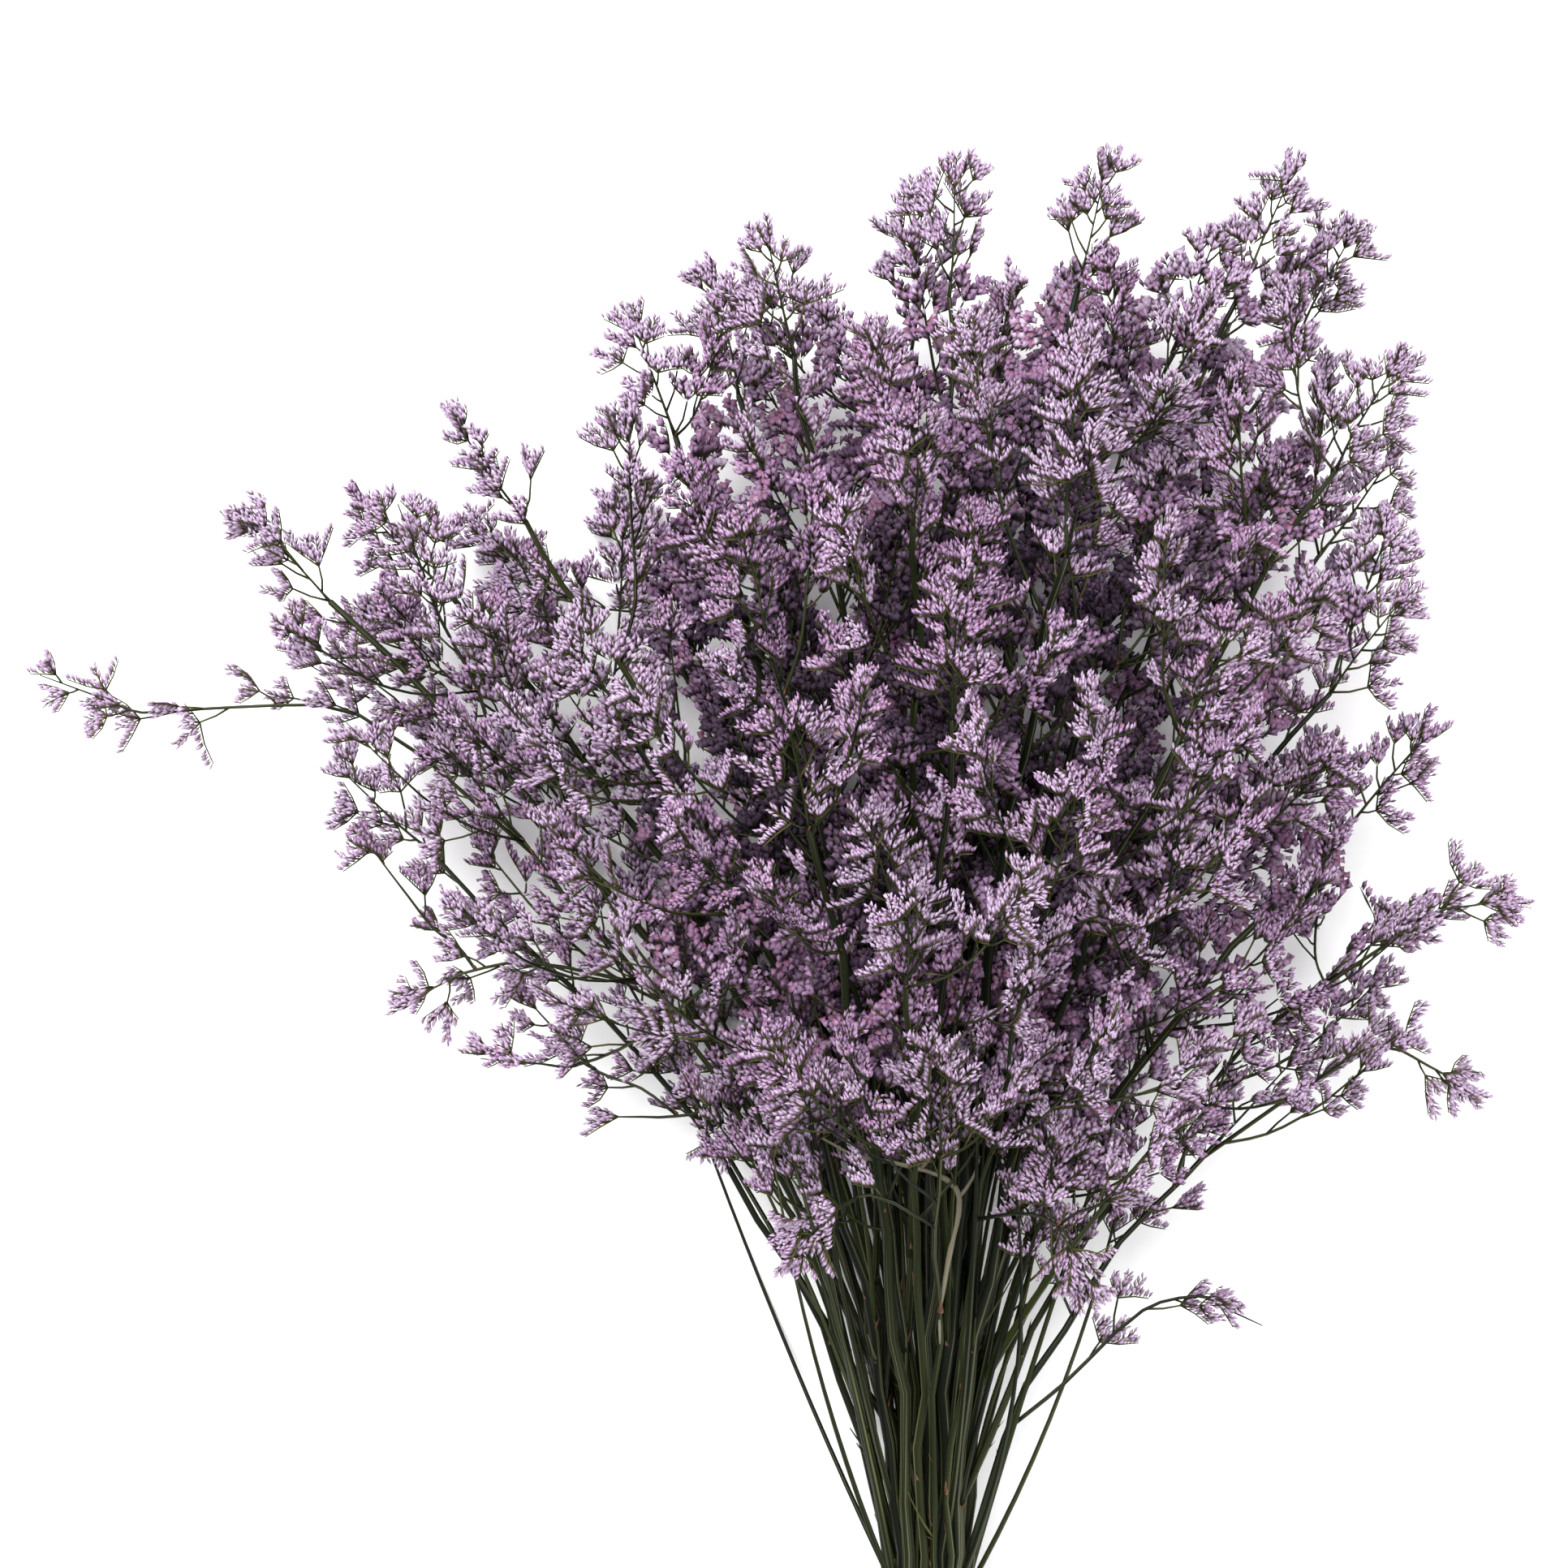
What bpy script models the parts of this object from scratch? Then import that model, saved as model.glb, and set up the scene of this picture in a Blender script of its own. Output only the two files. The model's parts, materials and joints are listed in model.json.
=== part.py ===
"""Dried statice: a bunch of branching sea-lavender stems held by a twine tie, lying on a flat surface.

The stems run along +Y, from their cut ends through the tie to their tips, and the surface is the plane z = 0.
Every length here is in millimetres, measured from the middle of the tie along X and Y and from the surface
along Z. Meshes are made in metres, and the whole bunch then moves so that the origin lies at the middle of its
bounding box, on the surface.
"""
import math
from dataclasses import dataclass, field

import bmesh
import bpy
import numpy as np

MM = 0.001
SEED = 23
CLEARANCE = 0.4
OWN_SLACK = 3.0

# The tie and the stems in it: one row of stems for each count, from the surface up
STEM_ROWS = (4, 5, 6, 7, 6, 5, 4)
STEM_PITCH = 4.2
STEM_RADIUS = 1.9
STEM_TIP_RADIUS = 1.2
TIE_HEIGHT = 34.0
TIE_WIDTH = 8.0
TIE_THICKNESS = 2.2
TIE_WRAPS = 3
TIE_SIDES = 18
KNOT_RADIUS = 4.2
STRING_RADIUS = 1.2

# The cut ends below the tie spread a little and sink to the surface, and then lie level
TAIL_LENGTH = 108.0
TAIL_VARIATION = 8.0
TAIL_FLARE = 0.5
TAIL_DROP = 13.7
TAIL_LEVEL = 88.0
STRAIGHT_IN_TIE = 6.0

# Above the tie a stem leans out of the bunch as a power of its distance from the tie
STEM_CURVE = 2.2
STEM_REACH = 590.0
STEM_BENDS = (-TAIL_LEVEL, -STRAIGHT_IN_TIE, STRAIGHT_IN_TIE, 90, 175, 255, 335, 415, 495, 600)

# Tips of the sprays: across, along, and height above the surface
SPRAY_TIPS = (
    # Top edge of the head, from left to right
    (-111, 536, 90), (-86, 554, 60), (-57, 563, 125), (-6, 582, 66), (12, 586, 110),
    (64, 591, 95), (101, 569, 62), (131, 591, 100), (157, 574, 60), (160, 521, 122),
    # Right edge, from the top down
    (177, 492, 75), (186, 439, 122), (205, 390, 92), (200, 330, 78), (154, 268, 56),
    # Left edge
    (-268, 474, 92), (-228, 479, 62), (-177, 503, 112), (-196, 384, 84), (-251, 380, 56),
    # Front of the head, which rises highest
    (-74, 458, 178), (-8, 498, 184), (54, 486, 186), (107, 423, 176), (5, 428, 206),
    (-57, 389, 190), (51, 366, 196), (-8, 332, 182), (-136, 424, 150), (-2, 268, 140),
    # Back of the head, which rests on the surface
    (-114, 473, 1), (-25, 518, 1), (60, 521, 1), (133, 467, 1), (108, 366, 1), (-76, 366, 1), (-171, 391, 1),
)

# Thin side branches that reach out past the head: the spray's place in the list above, how far from the tie the
# branch leaves its stem, and the branch's points, of which the last two are the ends of its comb
REACHING_BRANCHES = (
    (18, 338, ((-214, 390, 86), (-262, 393, 82), (-296, 391, 82), (-334, 405, 82))),
    (18, 288, ((-152, 297, 72), (-176, 293, 76), (-200, 281, 78))),
    (28, 300, ((-108, 270, 90), (-134, 259, 92), (-168, 262, 94))),
    (15, 256, ((-86, 240, 50), (-100, 237, 50), (-127, 237, 50))),
    (13, 285, ((178, 308, 76), (192, 317, 80), (219, 321, 82))),
    (14, 222, ((150, 254, 62), (174, 264, 60), (190, 257, 58), (212, 245, 56))),
    (14, 116, ((52, 134, 44), (82, 163, 50), (103, 169, 54), (127, 158, 56))),
    (29, 200, ((-24, 214, 122), (-38, 208, 130), (-54, 192, 134))),
    (26, 200, ((36, 206, 112), (48, 200, 122), (56, 178, 126))),
)

# Outline of the head as the combs fill it, seen from above
HEAD_OUTLINE = (
    (-250, 366), (-262, 440), (-232, 482), (-180, 508), (-150, 486), (-125, 522), (-86, 550), (-45, 568),
    (9, 588), (64, 592), (136, 592), (165, 532), (178, 492), (190, 440), (190, 396), (184, 354), (204, 306),
    (186, 258), (128, 240), (90, 192), (55, 168), (20, 216), (-49, 198), (-92, 230), (-154, 262), (-200, 294),
    (-204, 336),
)
EDGE_HEIGHT = 76.0
CROWN_RISE = 132.0
CROWN_DEPTH = 125.0
BELLY_DEPTH = 55.0

# Twigs and their combs
TWIG_COUNT = 256
TWIGS_PER_SPRAY = 12
BRANCHING = 0.5
SHARING = 1.5
TRIALS = 90
COMB_LENGTH = 46.0
COMB_SEGMENTS = 3
COMB_RIDGE = 2.2
COMB_HALF_WIDTH = 2.4
COMB_KEEL = 1.2
STALK_RADIUS = 1.2
ROOT_RADIUS_ON_STEM = 0.8
ROOT_RADIUS_ON_TWIG = 0.55
ROOT_OFFSET = 0.2
FLORET_RISE = 5.8
FLORET_LEAN = 5.4
COMB_REACH = 7.6
COMB_REACH_RISE = 2.0
RESTING_HEIGHT = 1.0
GROWTH_SOURCE = np.array((0.0, -60.0, 40.0))
UPWARD = np.array((0.0, 0.0, 1.0))
STEM = -1

# Colours, as linear red, green and blue
STEM_GREEN = (0.045, 0.060, 0.030)
FLORET_LILAC = (0.33, 0.20, 0.36)
TWINE_TAN = (0.42, 0.30, 0.17)


def unit(vector):
    return vector / np.linalg.norm(vector)


def ring_frame(heading):
    """Side and top directions of a ring across a stem, with the side kept level."""
    side = unit(np.cross(heading, UPWARD))
    return side, np.cross(side, heading)


def reach(y):
    """Share of its whole lean that a stem has at the distance y above the tie. All stems bend at the same places."""
    past_tie = np.maximum(np.array(STEM_BENDS) - STRAIGHT_IN_TIE, 0.0)
    return np.interp(y, STEM_BENDS, (past_tie / STEM_REACH) ** STEM_CURVE)


def spread(y):
    """Share of its whole spread that a cut end has at the distance -y below the tie."""
    return np.interp(y, (-TAIL_LEVEL, -STRAIGHT_IN_TIE), (1.0, 0.0))


@dataclass
class Stem:
    """One stem: its seat in the tie, how far it leans by the full reach of the bunch, and its two ends."""

    seat: tuple
    lean: tuple
    top: float
    tail: float
    line: np.ndarray = field(init=False)

    def __post_init__(self):
        bends = [y for y in STEM_BENDS if y < self.top - 20]
        self.line = np.array([self.place(y) for y in (-self.tail, *bends, self.top)])

    def place(self, y):
        """Point of the stem's middle line at the distance y from the tie."""
        flare = 1 + TAIL_FLARE * spread(y)
        x = self.seat[0] * flare + self.lean[0] * reach(y)
        z = TIE_HEIGHT + self.seat[1] * flare - TAIL_DROP * spread(y) + self.lean[1] * reach(y)
        return np.array((x, y, z))

    def at(self, y):
        """Point on the stem's middle line, and the line's direction there."""
        place = min(max(np.searchsorted(self.line[:, 1], y), 1), len(self.line) - 1)
        start, end = self.line[place - 1], self.line[place]
        return start + (end - start) * (y - start[1]) / (end[1] - start[1]), unit(end - start)

    def radius(self, y):
        return STEM_RADIUS + (STEM_TIP_RADIUS - STEM_RADIUS) * max(y, 0.0) / self.top


@dataclass
class Twig:
    """A side branch: a stalk that starts inside what it grows from, and the comb of florets that it ends in."""

    spray: int
    stalk: list
    comb: list
    facing: np.ndarray
    parent: int = STEM


def seat_stems(rng):
    """The stems that lean up most sit highest in the tie, and each row runs from left to right, so none cross."""
    middle_row = len(STEM_ROWS) // 2
    seats = {tip: (0.0, 0.0) for tip in SPRAY_TIPS}
    for _ in range(3):
        leans = {}
        for tip, seat in seats.items():
            leans[tip] = ((tip[0] - seat[0]) / reach(tip[1]), (tip[2] - TIE_HEIGHT - seat[1]) / reach(tip[1]))
        waiting = sorted(SPRAY_TIPS, key=lambda tip: leans[tip][1])
        for row, count in enumerate(STEM_ROWS):
            members = sorted(waiting[:count], key=lambda tip: leans[tip][0])
            waiting = waiting[count:]
            for place, tip in enumerate(members):
                seats[tip] = ((place - (count - 1) / 2) * STEM_PITCH, (row - middle_row) * STEM_PITCH)
    tails = rng.uniform(-TAIL_VARIATION, TAIL_VARIATION, len(SPRAY_TIPS)) + TAIL_LENGTH
    return [Stem(seats[tip], leans[tip], tip[1] - 0.9 * COMB_LENGTH, tail)
            for tip, tail in zip(SPRAY_TIPS, tails)]


class Thicket:
    """All that has grown so far, as rounded rods, to keep new twigs clear of it."""

    def __init__(self, stems):
        self.ends, self.radii, self.sprays, self.sources, self.leafy = [], [], [], [], []
        self.twigs = []
        for spray, stem in enumerate(stems):
            for start, end in zip(stem.line, stem.line[1:]):
                self.add(start, end, stem.radius(start[1]), spray, STEM, False)

    def add(self, start, end, radius, spray, source, leafy):
        self.ends.append((start, end))
        self.radii.append(radius)
        self.sprays.append(spray)
        self.sources.append(source)
        self.leafy.append(leafy)

    def add_twig(self, twig):
        for start, end, radius, leafy in rods(twig):
            self.add(start, end, radius, twig.spray, len(self.twigs), leafy)
        self.twigs.append(twig)

    def middles(self):
        return np.array([(twig.comb[0] + twig.comb[-1]) / 2 for twig in self.twigs])

    def spare(self, twig):
        """The least room left round a twig, where its own spray may come closer, and its parent may touch."""
        ends, radii, leafy = np.array(self.ends), np.array(self.radii), np.array(self.leafy)
        own = np.array(self.sprays) == twig.spray
        near = own & (np.array(self.sources) != twig.parent)
        least = math.inf
        for start, end, radius, with_florets in rods(twig):
            gaps = rod_gaps(start, end, ends[:, 0], ends[:, 1]) - radii - radius
            gaps[near] += OWN_SLACK
            least = min(least, gaps[~own | near if with_florets else ~own | near & leafy].min())
        return least


def rods(twig):
    """A twig as rods: each stretch of its stalk, and its comb with the florets on the side that they face."""
    found = [(start, end, STALK_RADIUS, False) for start, end in zip(twig.stalk, twig.stalk[1:])]
    shift = twig.facing * COMB_REACH_RISE
    return found + [(twig.comb[0] + shift, twig.comb[-1] + shift, COMB_REACH, True)]


def rod_gaps(start, end, starts, ends):
    """Shortest distances from one stretch to each of many."""
    along, others, offset = end - start, ends - starts, start - starts
    own, theirs = along @ along, (others * others).sum(1)
    cross, own_off, their_off = others @ along, offset @ along, (others * offset).sum(1)
    spread = np.maximum(own * theirs - cross * cross, 1e-9)
    near = np.clip((cross * their_off - own_off * theirs) / spread, 0, 1)
    far = np.clip((cross * near + their_off) / theirs, 0, 1)
    near = np.clip((cross * far - own_off) / own, 0, 1)
    return np.linalg.norm(offset + near[:, None] * along - far[:, None] * others, axis=1)


def depth_in_head(x, y):
    """Distance in from the head's outline, which is negative outside it."""
    corners = np.array(HEAD_OUTLINE, float)
    sides = np.roll(corners, -1, axis=0) - corners
    offsets = np.array((x, y)) - corners
    share = np.clip((offsets * sides).sum(1) / (sides * sides).sum(1), 0, 1)
    distance = np.linalg.norm(offsets - share[:, None] * sides, axis=1).min()
    crossed = (offsets[:, 1] >= 0) != (np.roll(offsets[:, 1], -1) >= 0)
    turned = sides[:, 0] * offsets[:, 1] - sides[:, 1] * offsets[:, 0]
    inside = (crossed & ((turned > 0) == (sides[:, 1] < 0))).sum() % 2 == 1
    return distance if inside else -distance


def in_head(point):
    """Whether a point lies in the domed head, whose edge floats and whose belly rests on the surface."""
    depth = depth_in_head(point[0], point[1])
    if depth < 0:
        return False
    top = EDGE_HEIGHT + CROWN_RISE * math.sqrt(min(depth / CROWN_DEPTH, 1.0))
    bottom = EDGE_HEIGHT * (1 - math.sqrt(min(depth / BELLY_DEPTH, 1.0)))
    return bottom <= point[2] <= top


def make_twig(spray, stalk, heading, growth, parent=STEM):
    """A twig whose comb starts at the stalk's end along heading and curves towards the way the bunch grows."""
    curve = unit(heading + 0.35 * growth) - heading
    steps = np.linspace(0, 1, COMB_SEGMENTS + 1)
    comb = [stalk[-1] + COMB_LENGTH * (step * heading + 0.5 * step * step * curve) for step in steps]
    for point in (*stalk[1:], *comb):
        point[2] = max(point[2], RESTING_HEIGHT)
    side = unit(comb[-1] - comb[0])
    facing = growth + 0.6 * UPWARD
    facing = facing - (facing @ side) * side
    return Twig(spray, stalk, comb, unit(facing), parent)


def leader(rng, spray, stem):
    """The comb that ends a spray's main stem."""
    root, heading = stem.at(stem.top - 3.0)
    twig = make_twig(spray, [root, stem.line[-1] + heading], heading, heading)
    side, top = ring_frame(unit(twig.comb[-1] - twig.comb[0]))
    turn = math.radians(rng.uniform(55, 125))
    twig.facing = side * math.cos(turn) + top * math.sin(turn)
    return twig


def reaching_branch(spray, points):
    """A twig along points set by hand."""
    points = [np.array(point, float) for point in points]
    root, tip = points[-2:]
    steps = np.linspace(0, 1, COMB_SEGMENTS + 1)
    side = unit(tip - root)
    facing = UPWARD + np.array((0.0, 0.5, 0.0))
    facing = facing - (facing @ side) * side
    return Twig(spray, points[:-1], [root + (tip - root) * step for step in steps], unit(facing))


def trial_twig(rng, spray, stem, twigs):
    """A twig from a random place on the stem, or from the stalk of one of the spray's own twigs.

    It leaves through the middle of one of its parent's flat sides.
    """
    parents = [number for number, twig in enumerate(twigs) if twig.spray == spray and twig.parent == STEM]
    if rng.random() < BRANCHING:
        parent = parents[rng.integers(len(parents))]
        start, end = twigs[parent].stalk[-2:]
        root, heading = start + (end - start) * rng.uniform(0.4, 0.8), unit(end - start)
        top = unit(twigs[parent].facing - (twigs[parent].facing @ heading) * heading)
        side = np.cross(heading, top)
        turn, length = math.radians(30 + 120 * rng.integers(3)), rng.uniform(14, 46)
    else:
        parent = STEM
        root, heading = stem.at(stem.top * rng.uniform(0.46, 0.96))
        side, top = ring_frame(heading)
        turn, length = math.radians(45 + 90 * rng.integers(4)), rng.uniform(18, 86)
    turn += math.radians(rng.uniform(-14, 14))
    angle = math.radians(rng.uniform(26, 62))
    across = side * math.cos(turn) + top * math.sin(turn)
    first = heading * math.cos(angle) + across * math.sin(angle)
    growth = unit(root - GROWTH_SOURCE)
    root = root + ROOT_OFFSET * across
    return make_twig(spray, [root, root + first * length], unit(first + 0.5 * growth), growth, parent)


def grow():
    """The stems and all the twigs, with each new twig where the head is emptiest among the trials."""
    rng = np.random.default_rng(SEED)
    stems = seat_stems(rng)
    thicket = Thicket(stems)
    for spray, stem in enumerate(stems):
        thicket.add_twig(leader(rng, spray, stem))
    for spray, leaves_at, points in REACHING_BRANCHES:
        thicket.add_twig(reaching_branch(spray, (stems[spray].at(leaves_at)[0], *points)))
    while len(thicket.twigs) < TWIG_COUNT:
        counts = np.bincount([twig.spray for twig in thicket.twigs], minlength=len(stems))
        middles = thicket.middles()
        trials = []
        for _ in range(TRIALS):
            spray = int(rng.integers(len(stems)))
            twig = trial_twig(rng, spray, stems[spray], thicket.twigs)
            middle = (twig.comb[0] + twig.comb[-1]) / 2
            if counts[spray] < TWIGS_PER_SPRAY and in_head(middle) and in_head(twig.comb[-1]):
                room = np.linalg.norm(middles - middle, axis=1).min()
                trials.append((room - SHARING * counts[spray], twig))
        trials.sort(key=lambda trial: -trial[0])
        clear = next((twig for _, twig in trials if thicket.spare(twig) > CLEARANCE), None)
        if clear:
            thicket.add_twig(clear)
    return stems, thicket.twigs


def add_ring(bm, corners):
    return [bm.verts.new(corner * MM) for corner in corners]


def bridge(bm, low, high, material=0):
    """Triangles between two rings, in pairs, one pair for each side."""
    faces = []
    for this in range(len(low)):
        following = (this + 1) % len(low)
        for corners in ((low[this], high[this], high[following]), (low[this], high[following], low[following])):
            face = bm.faces.new(corners)
            face.material_index = material
            faces.append(face)
    return faces


def cap(bm, ring):
    """A fan of triangles over a ring's end."""
    return [bm.faces.new((ring[0], ring[place], ring[place + 1])) for place in range(1, len(ring) - 1)]


def new_object(name, bm, materials):
    mesh = bpy.data.meshes.new(name)
    bmesh.ops.recalc_face_normals(bm, faces=bm.faces)
    bm.to_mesh(mesh)
    bm.free()
    for material in materials:
        mesh.materials.append(material)
    thing = bpy.data.objects.new(name, mesh)
    bpy.context.scene.collection.objects.link(thing)
    return thing


def stem_object(name, stem, materials):
    """The main stem, four-sided with its corners to the sides, top and bottom."""
    bm = bmesh.new()
    rings = []
    for place, point in enumerate(stem.line):
        before, after = stem.line[max(place - 1, 0)], stem.line[min(place + 1, len(stem.line) - 1)]
        side, top = ring_frame(unit(after - before))
        radius = stem.radius(point[1])
        rings.append(add_ring(bm, [point + radius * way for way in (side, top, -side, -top)]))
    cap(bm, rings[0])
    cap(bm, rings[-1])
    for low, high in zip(rings, rings[1:]):
        bridge(bm, low, high)
    return new_object(name, bm, materials)


def twig_object(name, twig, materials):
    """A twig: a three-sided stalk that runs on as a comb, with florets in two ranks on the side it faces."""
    bm = bmesh.new()
    points = [*twig.stalk[:-1], *twig.comb]
    combs_start = len(twig.stalk) - 1
    rings = []
    for place, point in enumerate(points[:-1]):
        before = points[max(place - 1, 0)]
        heading = unit(points[place + 1] - before)
        top = unit(twig.facing - (twig.facing @ heading) * heading)
        side = np.cross(heading, top)
        if place <= combs_start:
            root_radius = ROOT_RADIUS_ON_STEM if twig.parent == STEM else ROOT_RADIUS_ON_TWIG
            radius = root_radius if place == 0 else STALK_RADIUS
            ridge, half, keel = radius, 0.87 * radius, 0.5 * radius
        else:
            ridge, half, keel = COMB_RIDGE, COMB_HALF_WIDTH, COMB_KEEL
        corners = (point + ridge * top, point + half * side - keel * top, point - half * side - keel * top)
        rings.append(add_ring(bm, corners))
    tip = bm.verts.new(points[-1] * MM)
    last = rings[-1]
    cap(bm, rings[0])
    upper = []
    for place, (low, high) in enumerate(zip(rings, rings[1:])):
        faces = bridge(bm, low, high, material=int(place >= combs_start))
        if place >= combs_start:
            upper += faces[:2] + faces[4:]
    ends = [bm.faces.new((last[place], last[(place + 1) % 3], tip)) for place in range(3)]
    for face in ends:
        face.material_index = 1
    upper += [ends[0], ends[2]]
    bmesh.ops.recalc_face_normals(bm, faces=bm.faces)
    lean = unit(twig.comb[-1] - twig.comb[0]) * FLORET_LEAN
    outward = {face: np.array(face.normal) for face in upper}
    for face, normal in outward.items():
        middle = bmesh.ops.poke(bm, faces=[face])["verts"][0]
        reach = np.array(middle.co) + (normal * FLORET_RISE + lean) * MM
        middle.co = reach
    return new_object(name, bm, materials)


def fuse(trunk, pieces):
    """Join the pieces to the trunk as one body with one Boolean union, and remove them."""
    group = bpy.data.collections.new(trunk.name + "_twigs")
    bpy.context.scene.collection.children.link(group)
    for piece in pieces:
        bpy.context.scene.collection.objects.unlink(piece)
        group.objects.link(piece)
    union = trunk.modifiers.new("fuse", "BOOLEAN")
    union.operation, union.operand_type, union.collection = "UNION", "COLLECTION", group
    fused = bpy.data.meshes.new_from_object(trunk.evaluated_get(bpy.context.evaluated_depsgraph_get()))
    trunk.modifiers.clear()
    old, trunk.data = trunk.data, fused
    bpy.data.meshes.remove(old)
    for piece in pieces:
        bpy.data.meshes.remove(piece.data)
    bpy.data.collections.remove(group)


def trim(thing):
    """Cut off what lies below the surface, which leaves small flat spots to rest on."""
    bm = bmesh.new()
    bm.from_mesh(thing.data)
    if min(vertex.co.z for vertex in bm.verts) < 0:
        geometry = [*bm.verts, *bm.edges, *bm.faces]
        bmesh.ops.bisect_plane(bm, geom=geometry, plane_co=(0, 0, 0), plane_no=(0, 0, 1), clear_inner=True)
        bmesh.ops.holes_fill(bm, edges=[edge for edge in bm.edges if edge.is_boundary])
    bmesh.ops.triangulate(bm, faces=[face for face in bm.faces if len(face.verts) > 3])
    bm.to_mesh(thing.data)
    bm.free()


def tie_object(materials):
    """Turns of twine that fit round the rows of stems, with a knot on top and two short ends."""
    bm = bmesh.new()
    middle_row = len(STEM_ROWS) // 2
    corners = [STEM_PITCH * np.array((way * (STEM_ROWS[row] - 1) / 2, 0, row - middle_row))
               for row in (0, middle_row, -1 + len(STEM_ROWS)) for way in (-1, 1)]
    inner = STEM_RADIUS + CLEARANCE
    profile = [(inner, -0.5), (inner, 0.5)]
    for wrap in range(TIE_WRAPS, 0, -1):
        profile.append((inner + TIE_THICKNESS, (wrap - 0.5) / TIE_WRAPS - 0.5))
        if wrap > 1:
            profile.append((inner + 0.45 * TIE_THICKNESS, (wrap - 1) / TIE_WRAPS - 0.5))
    rings = []
    for step in range(TIE_SIDES):
        turn = 2 * math.pi * (step + 0.5) / TIE_SIDES
        way = np.array((math.cos(turn), 0, math.sin(turn)))
        middle = max(corners, key=lambda corner: corner @ way) + TIE_HEIGHT * UPWARD
        along = np.array((0, TIE_WIDTH, 0))
        rings.append(add_ring(bm, [middle + way * out + along * across for out, across in profile]))
    for low, high in zip(rings, rings[1:] + rings[:1]):
        bridge(bm, low, high)
    return new_object("tie", bm, materials)


def knot_objects(materials):
    """The knot and its two string ends, which start inside it."""
    top = TIE_HEIGHT + len(STEM_ROWS) // 2 * STEM_PITCH + STEM_RADIUS + CLEARANCE + TIE_THICKNESS
    middle = np.array((0.0, 0.0, top + 0.35 * KNOT_RADIUS))
    bm = bmesh.new()
    bmesh.ops.create_icosphere(bm, subdivisions=1, radius=KNOT_RADIUS * MM)
    for vertex in bm.verts:
        vertex.co = np.array(vertex.co) * (1.1, 1.0, 0.72) + middle * MM
    pieces = [new_object("knot", bm, materials)]
    for way in (-1, 1):
        points = [middle, middle + (way * 9, -3, 2.5), middle + (way * 17, -9, 0.5), middle + (way * 22, -18, -4)]
        bm = bmesh.new()
        rings = []
        for place, point in enumerate(points):
            after, before = points[min(place + 1, len(points) - 1)], points[max(place - 1, 0)]
            side, upper = ring_frame(unit(after - before))
            rings.append(add_ring(bm, [point + STRING_RADIUS * turned for turned in (side, upper, -side, -upper)]))
        cap(bm, rings[0])
        cap(bm, rings[-1])
        for low, high in zip(rings, rings[1:]):
            bridge(bm, low, high)
        pieces.append(new_object("string", bm, materials))
    return pieces


def make_material(name, colour, roughness):
    material = bpy.data.materials.new(name)
    material.use_nodes = True
    shader = material.node_tree.nodes["Principled BSDF"]
    shader.inputs["Base Color"].default_value = (*colour, 1.0)
    shader.inputs["Roughness"].default_value = roughness
    shader.inputs["Metallic"].default_value = 0.0
    material.diffuse_color = (*colour, 1.0)
    return material


def centre(things):
    """Hang all pieces on one empty, and move it so that the origin is the middle of the bunch's underside."""
    corners = np.array([vertex.co for thing in things for vertex in thing.data.vertices])
    low, high = corners.min(axis=0), corners.max(axis=0)
    bunch = bpy.data.objects.new("dried_statice", None)
    bpy.context.scene.collection.objects.link(bunch)
    bunch.location = (-(low[0] + high[0]) / 2, -(low[1] + high[1]) / 2, 0.0)
    for thing in things:
        thing.parent = bunch


def main():
    for thing in list(bpy.data.objects):
        bpy.data.objects.remove(thing)
    plant = [make_material("dried_stem", STEM_GREEN, 0.75), make_material("dried_floret", FLORET_LILAC, 0.85)]
    twine = [make_material("natural_twine", TWINE_TAN, 0.9)]
    stems, twigs = grow()
    things = []
    for spray, stem in enumerate(stems):
        trunk = stem_object(f"spray_{spray + 1:02d}", stem, plant)
        fuse(trunk, [twig_object("twig", twig, plant) for twig in twigs if twig.spray == spray])
        trim(trunk)
        things.append(trunk)
    tie = tie_object(twine)
    fuse(tie, knot_objects(twine))
    things.append(tie)
    centre(things)


if __name__ == "__main__":
    main()
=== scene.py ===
import json
import logging
import math
from dataclasses import dataclass, field
from enum import Enum

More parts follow.
